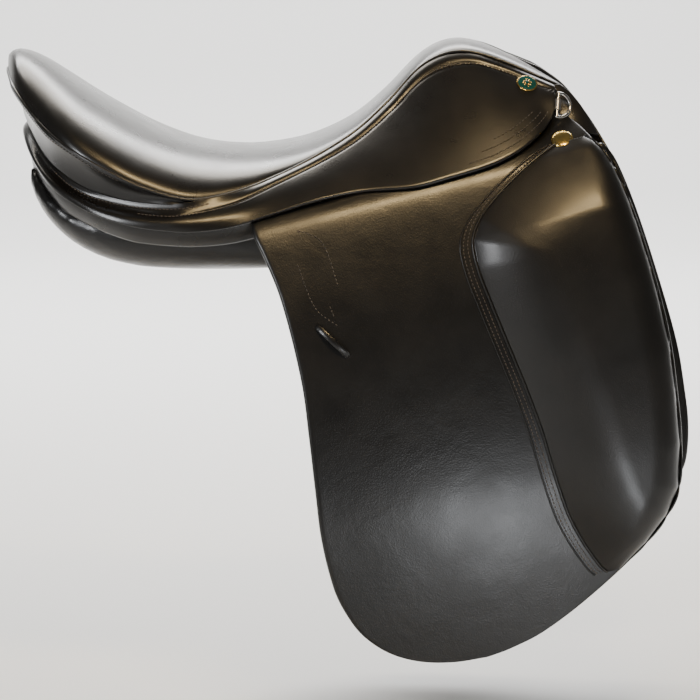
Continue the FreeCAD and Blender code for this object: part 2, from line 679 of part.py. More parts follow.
bar_blank = feature("bar_blank", bar_shape)
bar_blank.Placement = bar_placement

catch_body = Part.makeBox(16, BAR / 2, BAR - 2, Vector(-13, bar_line - BAR / 4, -BAR / 2 + 1))
catch_nose = Part.makeCylinder(BAR / 2 - 1, BAR / 2, Vector(0, bar_line - BAR / 4, 0),
                               Vector(0, 1, 0))
catch_back = Part.makeBox(4, BAR, BAR, Vector(BAR / 2 - 1, bar_line - BAR / 2, -BAR / 2))
catch_hole = Part.makeCylinder(PIN / 2 + 0.2, 40, Vector(0, bar_line - 20, 0), Vector(0, 1, 0))
catch_shape = catch_body.fuse(catch_nose).cut(catch_back).cut(catch_hole).removeSplitter()
catch = feature("catch_blank", catch_shape)
catch.Placement = bar_placement
mirrored_pair(catch, "bar_catch")
pin = feature("pin_blank", Part.makeCylinder(PIN / 2, BAR, Vector(0, bar_line - BAR / 2, 0),
                                             Vector(0, 1, 0)))
pin.Placement = bar_placement
mirrored_pair(pin, "catch_pin")

bar_rivets = [Part.makeCylinder(size_of("rivet_diameter") / 2, 12,
                                Vector(x, -1.5, 0), Vector(0, 1, 0)) for x in (18, 36, 54)]
bar_rivet_group = feature("bar_rivet_group", Part.makeCompound(bar_rivets))
bar_rivet_group.Placement = bar_placement
bar_on_leg = cut("bar_on_leg", bar_blank, head_blank)
mirrored_pair(cut("stirrup_bar_right", bar_on_leg, bar_rivet_group), "stirrup_bar")
rivets_left = doc.addObject("Part::Mirroring", "rivets_left")
rivets_left.Source = bar_rivet_group
rivets_left.Normal = Vector(0, 1, 0)
all_bar_rivets = fuse("all_bar_rivets", [bar_rivet_group, rivets_left])
node(cut("tree_head", head_drilled, all_bar_rivets), "tree_head")
mirrored_pair(bar_rivet_group, "bar_rivets")

# ---------------------------------------------------------------- girth webs, straps and guards
def girth_strap(name, centre):
    """A pointed strap with a row of holes, hanging from Z = 0 of the strap frame."""
    body = doc.addObject("PartDesign::Body", name)
    outline = sketch_in(body, name + "_outline", "XZ_Plane")
    left = centre - STRAP_WIDTH / 2
    right = centre + STRAP_WIDTH / 2
    point = STRAP_WIDTH / 3
    add_polygon(outline, [(left, 0), (left, -STRAP_LENGTH + point), (centre - 5, -STRAP_LENGTH),
                          (centre + 5, -STRAP_LENGTH), (right, -STRAP_LENGTH + point), (right, 0)])
    pad(body, outline, "sizes.strap_thickness", symmetric=True)
    doc.recompute()
    hole = sketch_in(body, name + "_hole", "XZ_Plane")
    lowest = -STRAP_LENGTH + 30
    circle = hole.addGeometry(Part.Circle(Vector(centre, lowest, 0), Vector(0, 0, 1),
                                          size_of("hole_diameter") / 2), False)
    pierced = pocket_all(body, hole)
    doc.recompute()
    row = body.newObject("PartDesign::LinearPattern", name + "_row")
    row.Originals = [pierced]
    row.Direction = (hole, ["V_Axis"])
    row.Mode = "Spacing"
    row.Offset = size_of("hole_pitch")
    row.Occurrences = 5
    body.Tip = row
    body.Placement = strap_placement
    return body


mirrored_pair(girth_strap("front_strap_body", STRAP_PITCH / 2), "girth_strap_front")
mirrored_pair(girth_strap("rear_strap_body", -STRAP_PITCH / 2), "girth_strap_rear")

GUARD = size_of("guard_leather")
GUARD_HEIGHT = size_of("guard_height")
GUARD_DROP = 48.0
GUARD_SIDE = 4.0
guard_wide = STRAP_PITCH + STRAP_WIDTH + 2 * (CLEARANCE + GUARD_SIDE)
guard_body = doc.addObject("PartDesign::Body", "guard_body")
guard_sketch = sketch_in(guard_body, "guard_section", "XY_Plane")
half_room = STRAP / 2 + CLEARANCE
outer_half = half_room + GUARD
add_polygon(guard_sketch, [(-guard_wide / 2, -outer_half), (guard_wide / 2, -outer_half),
                           (guard_wide / 2, outer_half), (-guard_wide / 2, outer_half)])
room_half = (STRAP_PITCH + STRAP_WIDTH) / 2 + CLEARANCE
add_polygon(guard_sketch, [(-room_half, -half_room), (room_half, -half_room),
                           (room_half, half_room), (-room_half, half_room)])
pad(guard_body, guard_sketch, "sizes.guard_height")
guard_body.Placement = strap_placement.multiply(
    FreeCAD.Placement(Vector(0, 0, -GUARD_HEIGHT - GUARD_DROP), FreeCAD.Rotation()))
mirrored_pair(guard_body, "girth_guard")

# each girth web comes from under the tree and bends down to the straps: (reach, height)
WEB_PATH = [(70, 52), (96, 46), (118, 38.5), (122, 34.5)]
GIRTH_WEB = size_of("web_thickness")


def web_section(shift):
    """The web's section across the saddle, shift millimetres ahead of the straps' middle."""
    outer = [spot(98, reach, z) + strap_along * shift for reach, z in WEB_PATH]
    inner = [point + Vector(0, 0.6, -0.8) * GIRTH_WEB for point in outer[:-1]]
    inner.append(outer[-1] + Vector(0, GIRTH_WEB, 0))
    corners = outer + inner[::-1]
    return Part.makePolygon(corners + corners[:1])


girth_web = feature("girth_web_blank", Part.makeLoft([web_section(-half_web), web_section(half_web)],
                                                     True, True))
mirrored_pair(girth_web, "girth_web")

# ---------------------------------------------------------------- point pockets
pocket_axis = FreeCAD.Placement(spot(140, 80, 57), FreeCAD.Rotation(Vector(1, 0, 0), -12))
pocket_outer = Part.makeBox(46 * LONG, 3, 24 * DEEP, Vector(0, -8, -16 * DEEP))
pocket_blank = feature("pocket_blank", pocket_outer)
pocket_blank.Placement = pocket_axis
mirrored_pair(pocket_blank, "point_pocket")

# ---------------------------------------------------------------- dees, clips, nails and badges
WIRE = size_of("dee_wire")
DEE_HEIGHT = size_of("dee_height")
DEE_REACH = size_of("dee_reach")
dee_foot = spot(209.8, 89.5, 101.5)
dee_head = spot(211.8, 82.5, 119)
dee_up = dee_head - dee_foot
dee_up.normalize()
dee_forward = Vector(0.93, 0.36, 0)
dee_forward = dee_forward - dee_up * dee_forward.dot(dee_up)
dee_forward.normalize()
dee_placement = FreeCAD.Placement(dee_foot, FreeCAD.Rotation(
    dee_forward, dee_up.cross(dee_forward), dee_up, "XZY"))
corner = 3.0  # straight run beside the staple bar
bow = Part.Arc(Vector(corner, 0, DEE_HEIGHT), Vector(DEE_REACH, 0, DEE_HEIGHT / 2), Vector(corner, 0, 0))
straight = Part.makeCylinder(WIRE / 2, DEE_HEIGHT)
bow_profile = Part.Wire([Part.Circle(Vector(corner, 0, DEE_HEIGHT), Vector(1, 0, 0), WIRE / 2).toShape()])
bow_tube = Part.Wire([bow.toShape()]).makePipeShell([bow_profile], True, False)
arms = [Part.makeCylinder(WIRE / 2, corner, Vector(0, 0, level), Vector(1, 0, 0))
        for level in (0, DEE_HEIGHT)]
balls = [Part.makeSphere(WIRE / 2, Vector(x, 0, level)) for x in (0, corner)
         for level in (0, DEE_HEIGHT)]
dee = feature("dee_blank", straight.fuse([bow_tube] + arms + balls).removeSplitter())
dee.Placement = dee_placement
mirrored_pair(dee, "dee")

clip_wall = 1.0
CLIP_END = 5.5
CLIP_TAIL = 6.0
clip_height = DEE_HEIGHT - 2 * CLIP_END
clip_bore = WIRE / 2 + 0.3
clip_ring = Part.makeCylinder(clip_bore + clip_wall, clip_height, Vector(0, 0, CLIP_END))
clip_tail = Part.makeBox(CLIP_TAIL, clip_wall, clip_height,
                         Vector(-CLIP_TAIL - 1, clip_bore, CLIP_END))
clip_hole = Part.makeCylinder(clip_bore, DEE_HEIGHT)
clip_shape = clip_ring.fuse(clip_tail).cut(clip_hole).removeSplitter()
clip = feature("clip_blank", clip_shape)
clip.Placement = dee_placement
mirrored_pair(clip, "dee_clip")


def domed_stud(radius, rim, dome, shank):
    """A round ornament on a pin: rim, shallow dome and shank, along +Z."""
    disc = Part.makeCylinder(radius, rim)
    ball_radius = (radius * radius + dome * dome) / (2 * dome)
    ball = Part.makeSphere(ball_radius, Vector(0, 0, rim + dome - ball_radius))
    cap = ball.common(Part.makeCylinder(radius, dome, Vector(0, 0, rim)))
    stem = Part.makeCylinder(1.5, shank, Vector(0, 0, -shank))
    return disc.fuse([cap, stem]).removeSplitter()


def facing_out(point, normal, lift):
    """A placement whose Z is the outward normal, lift millimetres above the point."""
    normal.normalize()
    return FreeCAD.Placement(point + normal * lift, FreeCAD.Rotation(Vector(0, 0, 1), normal))


nail = feature("nail_blank", domed_stud(size_of("nail_diameter") / 2, 1.5, 2.5, 0.2))
nail_normal = Vector(0.1, -0.75, 0.5)
nail.Placement = facing_out(spot(214, 108, 86), nail_normal, 0)
mirrored_pair(nail, "flap_nail")

badge = feature("badge_blank", domed_stud(size_of("badge_diameter") / 2, 1.0, 0.8, 0.2))
badge_normal = Vector(0.06, -0.88, 0.47)
badge.Placement = facing_out(spot(186, 70.5, 124.5), badge_normal, 0.8)
mirrored_pair(badge, "badge")

# ---------------------------------------------------------------- keeper loops on the flaps
keeper_body = doc.addObject("PartDesign::Body", "keeper_body")
keeper_sketch = sketch_in(keeper_body, "keeper_arch", "XY_Plane")
SPAN = size_of("keeper_span")
KEEPER_RISE = 12.5
KEEPER_LEATHER = 3.0
outer_arch = [(-SPAN / 2, 0), (-SPAN * 0.36, -KEEPER_RISE * 0.72), (0, -KEEPER_RISE),
              (SPAN * 0.36, -KEEPER_RISE * 0.72), (SPAN / 2, 0)]
inner_arch = [(-SPAN / 2 + KEEPER_LEATHER, 0), (-SPAN * 0.3, -KEEPER_RISE * 0.5),
              (0, KEEPER_LEATHER - KEEPER_RISE), (SPAN * 0.3, -KEEPER_RISE * 0.5),
              (SPAN / 2 - KEEPER_LEATHER, 0)]
add_spline(keeper_sketch, outer_arch)
add_spline(keeper_sketch, inner_arch)
for end in (0, -1):
    keeper_sketch.addGeometry(Part.LineSegment(Vector(*outer_arch[end], 0),
                                               Vector(*inner_arch[end], 0)), False)
pad(keeper_body, keeper_sketch, "sizes.keeper_width", symmetric=True)
keeper_depth = 96.0
keeper_spot = FreeCAD.Placement(
    Vector(40 * LONG, bow_at(keeper_depth) - CLEARANCE, -keeper_depth * DROP),
    FreeCAD.Rotation(Vector(1, 0, 0), -8).multiply(FreeCAD.Rotation(Vector(0, 1, 0), 56)))
keeper_body.Placement = flap_placement.multiply(keeper_spot)
mirrored_pair(keeper_body, "keeper_loop")

# ---------------------------------------------------------------- checks and files
doc.recompute()
for made in doc.Objects:
    if "Invalid" in made.State or "Error" in made.State:
        raise RuntimeError("%s failed: %s" % (made.Label, made.State))
for made in NODES:
    if made.Shape.isNull() or not made.Shape.isValid() or made.Shape.Volume < 1:
        raise RuntimeError("%s has no sound shape" % made.Label)

os.makedirs("parts", exist_ok=True)
for made in NODES:
    made.Shape.exportStep("parts/%s.step" % made.Label)
print("%d nodes written" % len(NODES))
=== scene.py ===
import math
import json
import bpy
from mathutils import Matrix, Vector
from mathutils.bvhtree import BVHTree


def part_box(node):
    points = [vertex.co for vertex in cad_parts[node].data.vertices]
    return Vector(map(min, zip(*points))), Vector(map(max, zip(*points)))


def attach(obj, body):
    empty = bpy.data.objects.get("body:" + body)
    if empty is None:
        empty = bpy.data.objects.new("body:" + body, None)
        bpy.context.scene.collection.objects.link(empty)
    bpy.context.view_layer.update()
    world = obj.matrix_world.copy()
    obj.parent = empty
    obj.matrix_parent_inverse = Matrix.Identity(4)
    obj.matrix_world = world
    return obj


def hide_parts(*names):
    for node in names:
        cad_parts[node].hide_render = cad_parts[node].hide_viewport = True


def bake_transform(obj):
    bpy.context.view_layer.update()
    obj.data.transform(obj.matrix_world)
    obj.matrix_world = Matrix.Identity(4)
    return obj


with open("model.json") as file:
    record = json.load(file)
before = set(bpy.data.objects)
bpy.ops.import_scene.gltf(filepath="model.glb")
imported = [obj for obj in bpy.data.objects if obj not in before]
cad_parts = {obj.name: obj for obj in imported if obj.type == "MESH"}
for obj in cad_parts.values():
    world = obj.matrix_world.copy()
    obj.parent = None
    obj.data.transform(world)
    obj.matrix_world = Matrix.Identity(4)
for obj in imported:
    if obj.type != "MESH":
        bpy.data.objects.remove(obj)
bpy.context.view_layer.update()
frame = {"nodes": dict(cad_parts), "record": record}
nodes = frame["nodes"]
bpy.ops.object.select_all(action="DESELECT")

# Every visible piece of the right side is made here and mirrored for the left. The tables hold
# millimetres, the meshes metres: x runs from the cantle to the pommel, z is up.
MM = 1000
RIGHT_LEFT = (("right", 1), ("left", -1))  # name of the side and the sign of its sideways reach
HIDE = {  # thickness of each leather, in metres
    "seat": 0.0025, "gusset": 0.002, "skirt": 0.0038, "flap": 0.004, "block": 0.0015,
    "keeper": 0.0019, "sweat": 0.003, "facing": 0.0025,
}


def spline(points, count):
    """Evenly spaced points on a smooth curve through the given ones."""
    points = [Vector(point) for point in points]
    lengths = [0.0]
    for first, second in zip(points, points[1:]):
        lengths.append(lengths[-1] + max((second - first).length, 1e-9))
    slopes = []
    for index in range(len(points)):
        before = max(index - 1, 0)
        after = min(index + 1, len(points) - 1)
        slopes.append((points[after] - points[before]) / (lengths[after] - lengths[before]))
    made = []
    piece = 0
    for step in range(count):
        place = lengths[-1] * step / (count - 1)
        while piece < len(points) - 2 and place > lengths[piece + 1]:
            piece += 1
        run = lengths[piece + 1] - lengths[piece]
        t = (place - lengths[piece]) / run
        made.append(points[piece] * (2 * t ** 3 - 3 * t ** 2 + 1)
                    + slopes[piece] * run * (t ** 3 - 2 * t ** 2 + t)
                    + points[piece + 1] * (3 * t ** 2 - 2 * t ** 3)
                    + slopes[piece + 1] * run * (t ** 3 - t ** 2))
    return made


def skin(name, rows):
    """A grid of quads, its points moved on to the given rows; every row has the same number."""
    bpy.ops.object.select_all(action="DESELECT")
    bpy.ops.mesh.primitive_grid_add(x_subdivisions=len(rows[0]) - 1, y_subdivisions=len(rows) - 1,
                                    size=1)
    made = bpy.context.active_object
    made.name = name
    made.data.name = name
    for vertex, point in zip(made.data.vertices, [point for row in rows for point in row]):
        vertex.co = point
    bpy.ops.object.shade_smooth()
    return made


def pick(made):
    bpy.ops.object.select_all(action="DESELECT")
    made.select_set(True)
    bpy.context.view_layer.objects.active = made


def smooth(made):
    """Shade every face of a mesh as part of one curved surface."""
    for face in made.data.polygons:
        face.use_smooth = True


def face_away_from(made, heart):
    """Turn an open sheet so that its normals point away from a place inside the saddle."""
    facing = 0
    for face in made.data.polygons:
        facing += (face.center - Vector(heart)).dot(face.normal) * face.area
    if facing < 0:
        made.data.flip_normals()


def thicken(made, thickness, levels=1):
    """Give a sheet its thickness inwards; a subdivision rounds its cut edge."""
    pick(made)
    wall = made.modifiers.new("thickness", "SOLIDIFY")
    wall.thickness = thickness
    wall.offset = -1
    bpy.ops.object.modifier_apply(modifier=wall.name)
    if levels:
        finer = made.modifiers.new("finer", "SUBSURF")
        finer.levels = levels
        finer.render_levels = levels
        bpy.ops.object.modifier_apply(modifier=finer.name)
    bpy.ops.object.shade_smooth()


def left_twin(made, name):
    """The mirrored piece of the left side."""
    twin = made.copy()
    twin.data = made.data.copy()
    twin.name = name
    twin.data.name = name
    bpy.context.collection.objects.link(twin)
    twin.data.transform(Matrix.Scale(-1, 4, Vector((0, 1, 0))))
    twin.data.flip_normals()
    return twin


def mm(x, reach, z):
    """A point of the right-hand side, in millimetres off the centre plane."""
    return Vector((x, -reach, z)) / MM


# The seat cover is one hide of smooth calf leather, pulled over the foam from the cantle to the
# pommel. Its outline is the welted seam; the crown rises from the seam like a shallow loaf.
SEAT = [  # x, half width, height of the seam, height of the crown
    (-243, 10, 137, 148.5), (-241, 26, 134, 151), (-231, 68, 122, 153), (-212, 98, 101, 147),
    (-185, 127, 80, 131), (-151, 138, 61, 109), (-117, 140, 46, 90), (-84, 137, 38, 77.5),
    (-50, 126, 43, 73), (-16, 111, 55, 75), (17, 96, 71, 82.5), (48, 81, 90, 97), (75, 66, 114, 119),
    (100, 57, 140, 145), (118, 56, 150, 158), (135, 57, 153, 162), (152, 58, 150, 159.5),
    (175, 62, 142, 151.5), (200, 65.5, 131, 140.5), (219, 66.5, 123.5, 130),
]
SEAT_BACK, SEAT_FRONT = -243, 219
SEAT_ROWS, SEAT_COLUMNS = 150, 73
seat_edge = spline([Vector((x, half, seam)) for x, half, seam, crown in SEAT], 400)
seat_crown = spline([Vector((x, half, crown)) for x, half, seam, crown in SEAT], 400)


def seat_station(x):
    """Half width, seam height and crown height of the seat at a place along it."""
    for index in range(len(seat_edge) - 1):
        if seat_edge[index + 1].x >= x:
            break
    first, second = seat_edge[index], seat_edge[index + 1]
    share = (x - first.x) / max(second.x - first.x, 1e-6)
    edge = first.lerp(second, share)
    crown = seat_crown[index].lerp(seat_crown[index + 1], share)
    return edge.y, edge.z, crown.z


VEE_START = 112  # ahead of this place the front edge is drawn back to a vee
VEE_NOTCH = 150
POMMEL_HALF = 66.5
SEAT_TURN_IN = ((0.5, 3), (2, 8), (6, 13))  # the front edge turns down: backwards and downwards
seat_rows = []
for step in range(SEAT_ROWS):
    nominal = SEAT_BACK + (SEAT_FRONT - SEAT_BACK) * step / (SEAT_ROWS - 1)
    row = []
    for column in range(SEAT_COLUMNS):
        share = -math.cos(math.pi * column / (SEAT_COLUMNS - 1))
        reach = 66 * share
        for _ in range(4):
            front = VEE_NOTCH + 69 * min(abs(reach) / POMMEL_HALF, 1) ** 1.7
            x = nominal
            if nominal > VEE_START:
                x = VEE_START + (nominal - VEE_START) * (front - VEE_START) / (SEAT_FRONT - VEE_START)
            half, seam, crown = seat_station(x)
            reach = half * share
        flat = min(max((x + 200) / 120, 0), 1)  # full and round at the cantle, flatter ahead of it
        rise = (1 - abs(share) ** (2.05 + 0.45 * flat)) ** (0.52 + 0.08 * flat)
        row.append(Vector((x, reach, seam + (crown - seam) * rise)) / MM)
    seat_rows.append(row)
for back, drop in SEAT_TURN_IN:
    seat_rows.append([point + Vector((-back, 0, -drop)) / MM for point in seat_rows[SEAT_ROWS - 1]])
seat = skin("seat_cover_leather", seat_rows)
face_away_from(seat, (0, 0, 0))
thicken(seat, HIDE["seat"], levels=0)
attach(seat, "saddle")
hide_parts("seat_cover", "seat_foam")


# Every visible hide is glossy black calf or bridle leather: near black with a warm cast, fine
# pores, a waxed surface and faint handling marks.
def new_paint(name):
    """An empty material with its node tree and its shader."""
    made = bpy.data.materials.new(name)
    made.use_nodes = True
    return made, made.node_tree, made.node_tree.nodes["Principled BSDF"]


def tangle(tree, kind, scale, **inputs):
    """A noise that lies on the piece itself."""
    made = tree.nodes.new(kind)
    where = tree.nodes.new("ShaderNodeTexCoord")
    tree.links.new(where.outputs["Object"], made.inputs["Vector"])
    made.inputs["Scale"].default_value = scale
    for name, amount in inputs.items():
        made.inputs[name].default_value = amount
    return made


def ramp(tree, source, low, high, left, right):
    """The source from left to right, turned into a value from low to high."""
    made = tree.nodes.new("ShaderNodeMapRange")
    made.inputs["From Min"].default_value = left
    made.inputs["From Max"].default_value = right
    made.inputs["To Min"].default_value = low
    made.inputs["To Max"].default_value = high
    tree.links.new(source, made.inputs["Value"])
    return made.outputs["Result"]


def two_tones(tree, shader, source, dark, light):
    """The base colour drifts between two tones with the source."""
    made = tree.nodes.new("ShaderNodeMix")
    made.data_type = "RGBA"
    made.inputs["A"].default_value = (*dark, 1)
    made.inputs["B"].default_value = (*light, 1)
    tree.links.new(source, made.inputs["Factor"])
    tree.links.new(made.outputs["Result"], shader.inputs["Base Color"])


def relief(tree, height, strength, distance):
    """A bump from a height; its node is given back so that another can build on it."""
    made = tree.nodes.new("ShaderNodeBump")
    made.inputs["Strength"].default_value = strength
    made.inputs["Distance"].default_value = distance
    tree.links.new(height, made.inputs["Height"])
    return made


def black_leather(name, dark, light, gloss, grain, creases, pores=1100.0):
    """Finished leather: colour drift, pores, soft waves and a waxed coat."""
    made, tree, shader = new_paint(name)
    drift = tangle(tree, "ShaderNodeTexNoise", 14.0, Detail=5.0, Roughness=0.6)
    two_tones(tree, shader, ramp(tree, drift.outputs["Fac"], 0, 1, 0.35, 0.7), dark, light)
    rub = tangle(tree, "ShaderNodeTexNoise", 34.0, Detail=3.0, Roughness=0.5)
    tree.links.new(ramp(tree, rub.outputs["Fac"], gloss - 0.03, gloss + 0.05, 0.3, 0.7),
                   shader.inputs["Roughness"])
    pore = tangle(tree, "ShaderNodeTexVoronoi", pores)
    pore.feature = "SMOOTH_F1"
    wave = tangle(tree, "ShaderNodeTexNoise", 38.0, Detail=4.0, Roughness=0.55, Distortion=0.4)
    fine = relief(tree, pore.outputs["Distance"], grain, 0.00025)
    broad = relief(tree, wave.outputs["Fac"], creases, 0.002)
    tree.links.new(fine.outputs["Normal"], broad.inputs["Normal"])
    tree.links.new(broad.outputs["Normal"], shader.inputs["Normal"])
    shader.inputs["Specular IOR Level"].default_value = 0.55
    shader.inputs["Coat Weight"].default_value = 0.35
    shader.inputs["Coat Roughness"].default_value = 0.22
    return made


seat_hide = black_leather("seat_calf", (0.0050, 0.0045, 0.0040), (0.0105, 0.0088, 0.0075),
                          0.29, 0.25, 0.05)
seat.data.materials.append(seat_hide)


# A covered cord, the welt, is sewn into the seam all round the seat: a thin black tube that
# stands just proud of the leather on both sides of it.
def tube(name, path, radius, count):
    """A round cord along a smooth path, closed at both ends."""
    line = bpy.data.curves.new(name, "CURVE")
    line.dimensions = "3D"
    line.bevel_depth = radius
    line.bevel_resolution = 3
    line.use_fill_caps = True
    run = line.splines.new("POLY")
    points = spline(path, count)
    run.points.add(len(points) - 1)
    for place, point in zip(run.points, points):
        place.co = (*point, 1)
    made = bpy.data.objects.new(name, line)
    bpy.context.collection.objects.link(made)
    pick(made)
    bpy.ops.object.convert(target="MESH")
    made = bpy.context.active_object
    bpy.ops.object.mode_set(mode="EDIT")
    bpy.ops.mesh.select_all(action="SELECT")
    bpy.ops.mesh.remove_doubles(threshold=1e-6)
    bpy.ops.mesh.normals_make_consistent(inside=False)
    bpy.ops.object.mode_set(mode="OBJECT")
    bpy.ops.object.shade_smooth()
    return made


seam_path = []
for x, half, seam, crown in SEAT[::-1]:
    if x < SEAT_FRONT:
        seam_path.append(mm(x, half + 0.4, seam + 0.2))
seam_path.append(mm(-243.6, 0, 137))
welt_path = seam_path + [Vector((p.x, -p.y, p.z)) for p in seam_path[-2::-1]]
welt = tube("seat_welt", welt_path, 0.0013, 420)
welt.data.materials.append(seat_hide)
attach(welt, "saddle")


# The gusset is the crescent of leather that joins the back of the seat to the skirt tails.
# It is sewn along both edges and pulls in a little between them.
GUSSET = [  # places on the upper and the lower seam: x, sideways reach, z
    ((-243, 0, 136), (-229, 0, 101)), ((-242.6, 20, 134), (-228, 30, 100)),
    ((-234.5, 62, 122.5), (-219, 62, 88)), ((-216, 95, 103), (-207, 88, 71)),
    ((-201, 116, 89), (-194, 107, 60)), ((-186, 127, 79.5), (-173, 119.5, 46.5)),
    ((-157, 137, 62.5), (-146, 127, 38)), ((-129, 140, 49.5), (-124, 133, 35)),
    ((-100, 139.5, 41), (-100, 138, 34)), ((-84, 138, 37.5), (-84, 138.5, 33.5)),
]


def band(rows, steps, across, bulge, crowd=1.0):
    """A sheet between two edges. bulge gives its outward lift from the distance below the upper
    edge, the width there and the place along it; crowd draws the rows towards the upper edge."""
    upper = spline([mm(*row[0]) for row in rows], steps)
    lower = spline([mm(*row[1]) for row in rows], steps)
    made = []
    for index, (top, low) in enumerate(zip(upper, lower)):
        after = min(index + 1, steps - 1)
        before = max(index - 1, 0)
        run = upper[after] + lower[after] - upper[before] - lower[before]
        normal = run.cross(low - top).normalized()
        heart = Vector((min(max(top.x, -0.12), 0.14), 0, top.z - 0.03))
        if normal.dot((top + low) / 2 - heart) < 0:
            normal = -normal
        width = (low - top).length * MM
        row = []
        for step in range(across):
            share = (step / (across - 1)) ** crowd
            lift = bulge(share * width, width, index / (steps - 1))
            row.append(top.lerp(low, share) + normal * lift / MM)
        made.append(row)
    return made




def belly(amount):
    """A lift that is greatest halfway between the two seams."""
    return lambda down, width, place: amount * math.sin(math.pi * down / width)


gusset_rows = band(GUSSET, 80, 12, belly(-2.2))
gusset = skin("cantle_gusset", gusset_rows)
face_away_from(gusset, (-0.1, 0, 0.07))
thicken(gusset, HIDE["gusset"])
gusset.data.materials.append(seat_hide)
gusset_left = left_twin(gusset, "cantle_gusset_left")
for piece in (gusset, gusset_left):
    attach(piece, "saddle")
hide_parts("cantle_facing")


# Each skirt is one hide from the back of the cantle to the pommel. A rolled, stitched band runs
# below its seam; the front half, which lifts so that a stirrup leather can reach the bar, is built at
# rest.
SKIRT = [
    ((-228, 0, 101.5), (-228, 0, 85.5)), ((-227, 29.3, 100.5), (-226.3, 33, 82)),
    ((-218, 61.3, 88.5), (-221, 62, 72)), ((-206, 87.2, 71.5), (-211, 90, 58)),
    ((-193, 106, 60.5), (-196, 114, 43.5)), ((-172.5, 118.5, 47), (-171, 131.5, 29.5)),
    ((-146, 126.2, 38.8), (-150, 140, 22)), ((-124, 132.4, 36), (-128, 145, 16.5)),
    ((-100, 137.4, 35), (-104, 147, 13.6)), ((-85, 138.8, 36.5), (-85, 147, 12.6)),
    ((-50, 128.5, 43), (-53, 145, 16.4)), ((-22, 114.5, 53), (-24, 142, 25.5)),
    ((17, 97.5, 71), (15, 137, 37.5)), ((48, 82, 90), (51, 130.5, 44.3)), ((75, 67, 114), (94, 131.5, 48)),
    ((98, 58.5, 138.5), (122, 128.5, 54.8)), ((118, 57.5, 149.5), (156, 123, 64.5)),
    ((140, 58.5, 152), (177, 117, 74.5)), ((165, 61, 145), (193, 108, 86)),
    ((188, 65.5, 135.5), (203, 98, 96)), ((203, 67.5, 129), (208.6, 90, 107.8)),
    ((210, 68, 125.5), (209.5, 84, 116.4)),
]
ROLL = 12.0  # width of the rolled band under the seam
SKIRT_STEPS = 140


def skirt_lift(down, width, place):
    """A roll under the seam, a sewn groove, then a gently crowned hide; the tail is hollow."""
    roll = 1.3 * math.sin(math.pi * min(down / ROLL, 1))
    groove = -0.9 * math.exp(-((down - ROLL) / 1.2) ** 2)
    front = min(max((place - 0.34) / 0.2, 0), 1)
    crowned = 3.0 * front * math.sin(math.pi * down / width)
    hollow = (1 - front) * 2.6 * math.sin(2 * math.pi * down / width)
    return roll * front + groove * front + crowned - hollow


skirt_rows = band(SKIRT, SKIRT_STEPS, 42, skirt_lift, crowd=1.35)
skirt = skin("skirt_leather_right", skirt_rows)
face_away_from(skirt, (-0.02, 0, 0.03))
thicken(skirt, HIDE["skirt"])
skirt.data.materials.append(seat_hide)
skirt_twin = left_twin(skirt, "skirt_leather_left")
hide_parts("skirt_right", "skirt_lift_right")
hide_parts("skirt_left", "skirt_lift_left")
SKIRT_FOLD = (Vector((-0.020, -0.120, 0.045)), Vector((0.208, -0.070, 0.124)))
fold_run = (SKIRT_FOLD[1] - SKIRT_FOLD[0]).normalized()
down = Vector((0, -0.70, -0.715))
down = (down - fold_run * down.dot(fold_run)).normalized()
for piece, (side, flip) in zip((skirt, skirt_twin), RIGHT_LEFT):
    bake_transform(piece)


# A panel gusset, a soft strip of calf, closes the gap between the tail of the skirt and the
# stuffed panel below it. It is sewn to both and bellies out between its seams.
CLOSING = [
    ((-224, 0, 89), (-222, 0, 79)), ((-223, 20, 87), (-220, 22, 68)),
    ((-221, 38, 83), (-219, 40, 54)), ((-212, 77, 66), (-209, 76, 42)),
    ((-195, 106, 50), (-191, 102, 27)), ((-169, 126, 35), (-165, 120, 15)),
    ((-148, 135, 27), (-146, 128, 8)), ((-127, 140, 22), (-126, 133, 3)),
    ((-86, 142, 18), (-86, 134, 0)), ((-54, 140, 20), (-54, 131, 2)), ((-24, 136, 28), (-26, 126, 8)),
]
closing = skin("panel_gusset_right", band(CLOSING, 90, 14, belly(2)))
face_away_from(closing, (-0.05, 0, 0.03))
thicken(closing, HIDE["gusset"], levels=0)
closing.data.materials.append(seat_hide)
closing_twin = left_twin(closing, "panel_gusset_left")
for piece in (closing, closing_twin):
    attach(piece, "saddle")


# The flap is a single cut of thick bridle leather. It is nailed under the skirt, folds over the
# panel and hangs in a shallow bow; its edge is rounded and polished.
FOLD_START = Vector((-0.037, -0.1455, 0.012))
FOLD_END = Vector((0.255, -0.1076, 0.0833))
along = (FOLD_END - FOLD_START).normalized()
rise = (Vector((0, 0, 1)) - along * along.z).normalized()
inward = rise.cross(along)


def hang(x, depth, out):
    """A place on the flap: millimetres along the fold, below it, and outwards."""
    return FOLD_START + (along * x - rise * depth - inward * out) / MM


def profile(pairs, count):
    """A smooth line through (depth, value) pairs."""
    return spline([Vector((depth, value, 0)) for depth, value in pairs], count)


def at_depth(depth, line):
    """The value of a profile at a depth below the fold."""
    for first, second in zip(line, line[1:]):
        if second.x >= depth:
            share = (depth - first.x) / max(second.x - first.x, 1e-6)
            return first.y + (second.y - first.y) * max(share, 0)
    return line[-1].y


BOW = [  # depth, outward reach of the sheet
    (-46, -50), (-22, -23), (-8, -6), (0, 0), (30, 10), (80, 22), (150, 32), (230, 38), (300, 38),
    (377, 35.5),
]
bow_line = profile(BOW, 300)


def outline_rows(rear, front, count):
    """Rows of (depth, rear x, front x) between two edges; both are lists of (depth, x)."""
    back, fore = profile(rear, 400), profile(front, 400)
    shallow, deep = rear[0][0], rear[-1][0]
    rows = []
    for step in range(count):
        share = step / (count - 1)
        level = shallow + (deep - shallow) * math.sin(share * math.pi / 2) ** 0.85
        rows.append((level, at_depth(level, back), at_depth(level, fore)))
    return rows


